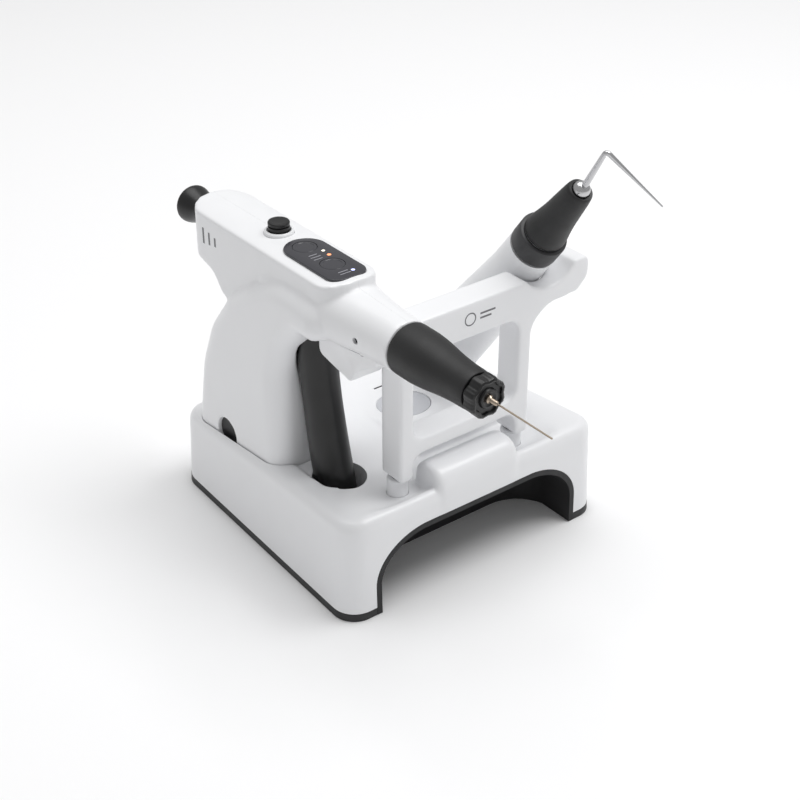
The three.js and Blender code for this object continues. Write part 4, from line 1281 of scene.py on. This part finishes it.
        form = Form.turned_ring(ring, Vector((*collar.mid.xy, collar.low.z)), Z_AXIS)
        self.dresser.skin("button_collar", form, WHITE)
        z = self.top
        cap = [
            (button.low.z - z, 2.0), (0.2, 2.0), (0.5, 3.9), (0.7, 4.0), (2.2, 4.0), (2.4, 3.85),
            (2.45, 3.4), (2.75, 3.4), (2.8, 3.85), (3.0, 4.0), (3.8, 4.0), (4.15, 3.75), (4.3, 3.3),
            (4.18, 2.6), (4.1, 0.0),
        ]
        self.dresser.skin("top_button", Form.turned(cap, Vector((*button.mid.xy, z)), Z_AXIS), BLACK)

    def nose(self) -> None:
        """The silicone nose, the wavy nut, the hub and the needle."""
        nose, nut, needle = Box("nose_cap"), Box("needle_nut"), Box("needle")
        length = nose.high.y - nose.low.y
        rows = [
            (0.0, 8.9), (0.4, 9.35), (3.0, 9.4), (8.0, 9.35), (12.5, 9.0), (17.0, 8.4), (22.0, 7.7),
            (27.5, 7.2), (length - 0.7, 6.9), (length, 6.3),
        ]
        forward = Vector((0, -1, 0))
        start = self.at(nose.high.y, self.axis)
        profile = [(0.2, 5.7), *eased(rows, 4), (length, 3.0)]
        self.dresser.skin("nose_cap", Form.turned(profile, start, forward, 96), SILICONE)
        self.nut(nut, forward)
        reach = needle.high.y - needle.low.y
        hub = [
            (0.2, 1.45), (6.2, 1.45), (6.5, 1.2), (7.0, 0.95), (9.2, 0.85), (9.6, 0.6), (9.8, 0.32),
            (reach - 0.1, 0.3), (reach, 0.2),
        ]
        self.dresser.skin("needle", Form.turned(hub, self.at(needle.high.y, self.axis), forward, 28), NEEDLE)

    def nut(self, nut: Box, forward: Vector) -> None:
        """The knurled needle nut with its dished face."""
        length, radius = nut.high.y - nut.low.y, 7.3
        profile = [
            (0.0, 6.2), (0.4, 6.8), (1.0, radius), (length - 1.2, radius),
            (length - 0.5, radius - 0.35), (length - 0.2, radius - 1.0), (length - 0.35, radius - 1.5),
            (length - 1.0, radius - 1.7), (length - 1.0, 3.7), (length - 0.5, 3.5),
            (length - 0.1, 3.3), (length, 2.6), (length - 0.4, 1.9),
        ]
        form = Form.turned(profile, Vector((0, 0, 0)), Z_AXIS, 128)

        def waved(p: Vector) -> Vector:
            """Press finger waves into the rim."""
            reach = math.hypot(p.x, p.y)
            if reach < 5.4:
                return p
            wave = 0.5 + 0.5 * math.cos(8 * math.atan2(p.y, p.x))
            fine = 0.5 + 0.5 * math.cos(32 * math.atan2(p.y, p.x))
            keep = 1 - (0.62 * wave + 0.12 * fine) / reach
            return Vector((p.x * keep, p.y * keep, p.z))

        form.bent(waved).placed(Matrix.Translation(self.at(nut.high.y, self.axis)) @ facing(forward))
        self.dresser.skin("needle_nut", form, BLACK)

    def knob(self) -> None:
        """The trumpet-shaped plunger knob."""
        knob = Box("plunger_knob")
        length = knob.high.y - knob.low.y
        rows = [
            (0.0, 4.6), (0.4, 5.1), (1.2, 5.2), (3.0, 4.9), (5.5, 5.2), (8.5, 6.3), (10.6, 7.05),
            (12.2, 7.4), (12.9, 7.35), (length - 0.2, 7.0), (length, 6.5),
        ]
        profile = [*eased(rows, 4), (length - 0.35, 5.6), (length - 0.5, 4.0), (length - 0.4, 0.0)]
        start = Vector((knob.mid.x, knob.low.y, knob.mid.z))
        self.dresser.skin("plunger_knob", Form.turned(profile, start, Y_AXIS, 96), BLACK)

    def build(self) -> None:
        """Build the whole gun."""
        self.shells()
        self.painted_recess_shade()
        self.panel()
        self.controls()
        self.nose()
        self.knob()


@dataclass
class Pen:
    """The heated-plugger pen, laid along its own leaning axis."""

    dresser: Dresser
    ROWS = (
        (-9.9, 8.9), (-10.4, 9.2), (-18.0, 9.3), (-26.0, 9.5), (-36.0, 10.3), (-48.0, 11.3),
        (-60.0, 12.2), (-74.0, 12.5), (-88.0, 12.5), (-104.0, 12.4), (-116.0, 12.0), (-121.0, 10.2),
        (-124.2, 7.0), (-125.0, 4.0),
    )
    TAIL = -88.0
    RADIUS = 12.5
    RING_FRONT = (-47.5, 122.6)

    @staticmethod
    def way() -> Vector:
        """The pen's axis, from tail to tip."""
        return Vector((0, -0.6, 0.8))

    @staticmethod
    def nose() -> Vector:
        """The front of the switch ring on the axis."""
        return Vector((Box("pen_cone").mid.x, *Pen.RING_FRONT))

    @classmethod
    def hull(cls, grow: float) -> Form:
        """The pen body's outer form, grown by a clearance."""
        rows = [(s, r + grow) for s, r in eased(cls.ROWS, 4)]
        return Form.turned(list(reversed(rows)), cls.nose(), cls.way(), 96)

    def turned(self, node: str, profile: Profile, finish: Finish) -> None:
        """Turn a piece about the pen's axis and dress it."""
        self.dresser.skin(node, Form.turned(profile, self.nose(), self.way(), 96), finish)

    def build(self) -> None:
        """Build the whole pen."""
        rows = list(reversed(eased(self.ROWS, 5)))
        body = [(s, r) for s, r in rows if s > self.TAIL + 0.12]
        tail = [(s, r) for s, r in rows if s < self.TAIL - 0.12]
        bottom = self.RADIUS - 0.3
        body = [(self.TAIL + 0.1, bottom), (self.TAIL + 0.25, self.RADIUS), *body[1:]]
        tail = [*tail[:-1], (self.TAIL - 0.25, self.RADIUS), (self.TAIL - 0.1, bottom)]
        self.turned("pen_body", body, WHITE)
        self.turned("pen_tail_cap", tail, WHITE)
        ring = [
            (-9.0, 7.8), (-9.0, 8.9), (-8.7, 9.2), (-8.2, 9.3), (-1.1, 9.3), (-0.6, 9.15),
            (-0.35, 8.7), (-0.35, 7.8),
        ]
        form = Form.turned_ring([*ring, ring[0]], self.nose(), self.way())
        self.dresser.skin("switch_ring", form, RING)
        cone = eased([(0.0, 7.6), (0.5, 8.0), (3.0, 7.8), (7.0, 7.1), (12.0, 6.4), (18.0, 5.85), (24.0, 5.3)], 4)
        cone = [*cone, (26.6, 4.95), (27.6, 4.7), (28.0, 4.3), (27.9, 3.6), (27.0, 3.5)]
        self.turned("pen_cone", cone, SILICONE)
        dome = eased([(22.4, 3.3), (27.4, 3.3), (28.4, 3.25), (29.5, 2.95), (30.4, 2.3), (30.85, 1.6)], 3)
        self.turned("tip_dome", dome, STEEL)
        self.plugger()

    def plugger(self) -> None:
        """The bent plugger with its tapering tip."""
        collar = self.nose() + self.way() * 31.0
        shank = Vector((0, -0.5, 0.866)).normalized()
        tip = Vector((0.53, -0.49, -0.69)).normalized()
        bend = collar + shank * 17.6
        path, radii = [], []
        for along, radius in ((-6.7, 1.2), (-3, 1.2), (0.0, 1.2)):
            path.append(collar + self.way() * along)
            radii.append(radius)
        for along, radius in ((2.0, 1.18), (7.0, 1.1), (12.0, 1.0), (15.2, 0.92)):
            path.append(collar + shank * along)
            radii.append(radius)
        start, end = bend - shank * 1.9, bend + tip * 1.9
        for k in range(9):
            t = k / 8
            path.append(start.lerp(bend, t).lerp(bend.lerp(end, t), t))
            radii.append(0.88)
        for along, radius in ((6, 0.78), (12, 0.62), (18, 0.47), (24, 0.36), (27.6, 0.3), (28.0, 0.18)):
            path.append(bend + tip * along)
            radii.append(radius)
        form = Form.tube(path, radii, 28)
        self.dresser.skin("plugger_tip", form, STEEL, angle=60)


@dataclass
class Studio:
    """The floor, the soft lights and the camera."""

    eye: tuple[float, float, float] = (-310.6, -414.0, 360.0)
    azimuth: float = 37.69
    pitch: float = 31.43
    lens: float = 69.6
    sky: float = 0.46
    target: tuple[float, float, float] = (0.0, 0.0, 0.05)

    def camera(self) -> None:
        """Set the camera up."""
        data = bpy.data.cameras.new("view")
        data.lens = self.lens
        data.sensor_width = 36.0
        data.clip_start = 0.01
        thing = bpy.data.objects.new("view", data)
        bpy.context.scene.collection.objects.link(thing)
        thing.location = Vector(self.eye) * MM
        thing.rotation_euler = (math.radians(90 - self.pitch), 0, math.radians(-self.azimuth))
        bpy.context.scene.camera = thing

    def lamp(self, name: str, place: Vector, size: float, power: float) -> None:
        """Add a soft lamp that looks at the middle of the base."""
        data = bpy.data.lights.new(name, "AREA")
        data.shape = "DISK"
        data.size = size
        data.energy = power
        thing = bpy.data.objects.new(name, data)
        bpy.context.scene.collection.objects.link(thing)
        thing.location = place
        thing.rotation_euler = (Vector(self.target) - place).to_track_quat("-Z", "Y").to_euler()

    def build(self) -> None:
        """Set up floor, sky and lamps."""
        world = bpy.data.worlds.new("studio")
        world.use_nodes = True
        sky = world.node_tree.nodes["Background"]
        sky.inputs["Color"].default_value = (1.0, 1.0, 1.0, 1.0)
        sky.inputs["Strength"].default_value = self.sky
        bpy.context.scene.world = world
        bpy.context.scene.view_settings.view_transform = "Standard"
        form = Form()
        bmesh.ops.create_grid(form.bm, x_segments=1, y_segments=1, size=6000)
        floor = form.object("floor")
        floor.location.z = -0.0002
        paper = Finish("paper_floor", (0.93, 0.93, 0.935), 0.9, grain_size=3.0, grain_depth=0.02, mottle=0.003)
        floor.data.materials.append(paper.material())
        self.lamp("key", Vector((0.5, -0.35, 1.3)), 0.8, 9.0)
        self.lamp("top", Vector((0.0, 0.4, 1.5)), 1.2, 8.0)


def build_all() -> None:
    """Build the studio and every piece."""
    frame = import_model()
    studio = Studio()
    studio.camera()
    studio.build()
    dresser = Dresser(frame)
    for part in (ChargingBase(dresser), Rack(dresser), Gun(dresser), Pen(dresser)):
        log.info("building %s", type(part).__name__)
        part.build()
    dresser.hidden()


def main() -> None:
    """Build the scene."""
    logging.basicConfig(level=logging.INFO, format="%(message)s")
    build_all()


if __name__ == "__main__":
    main()
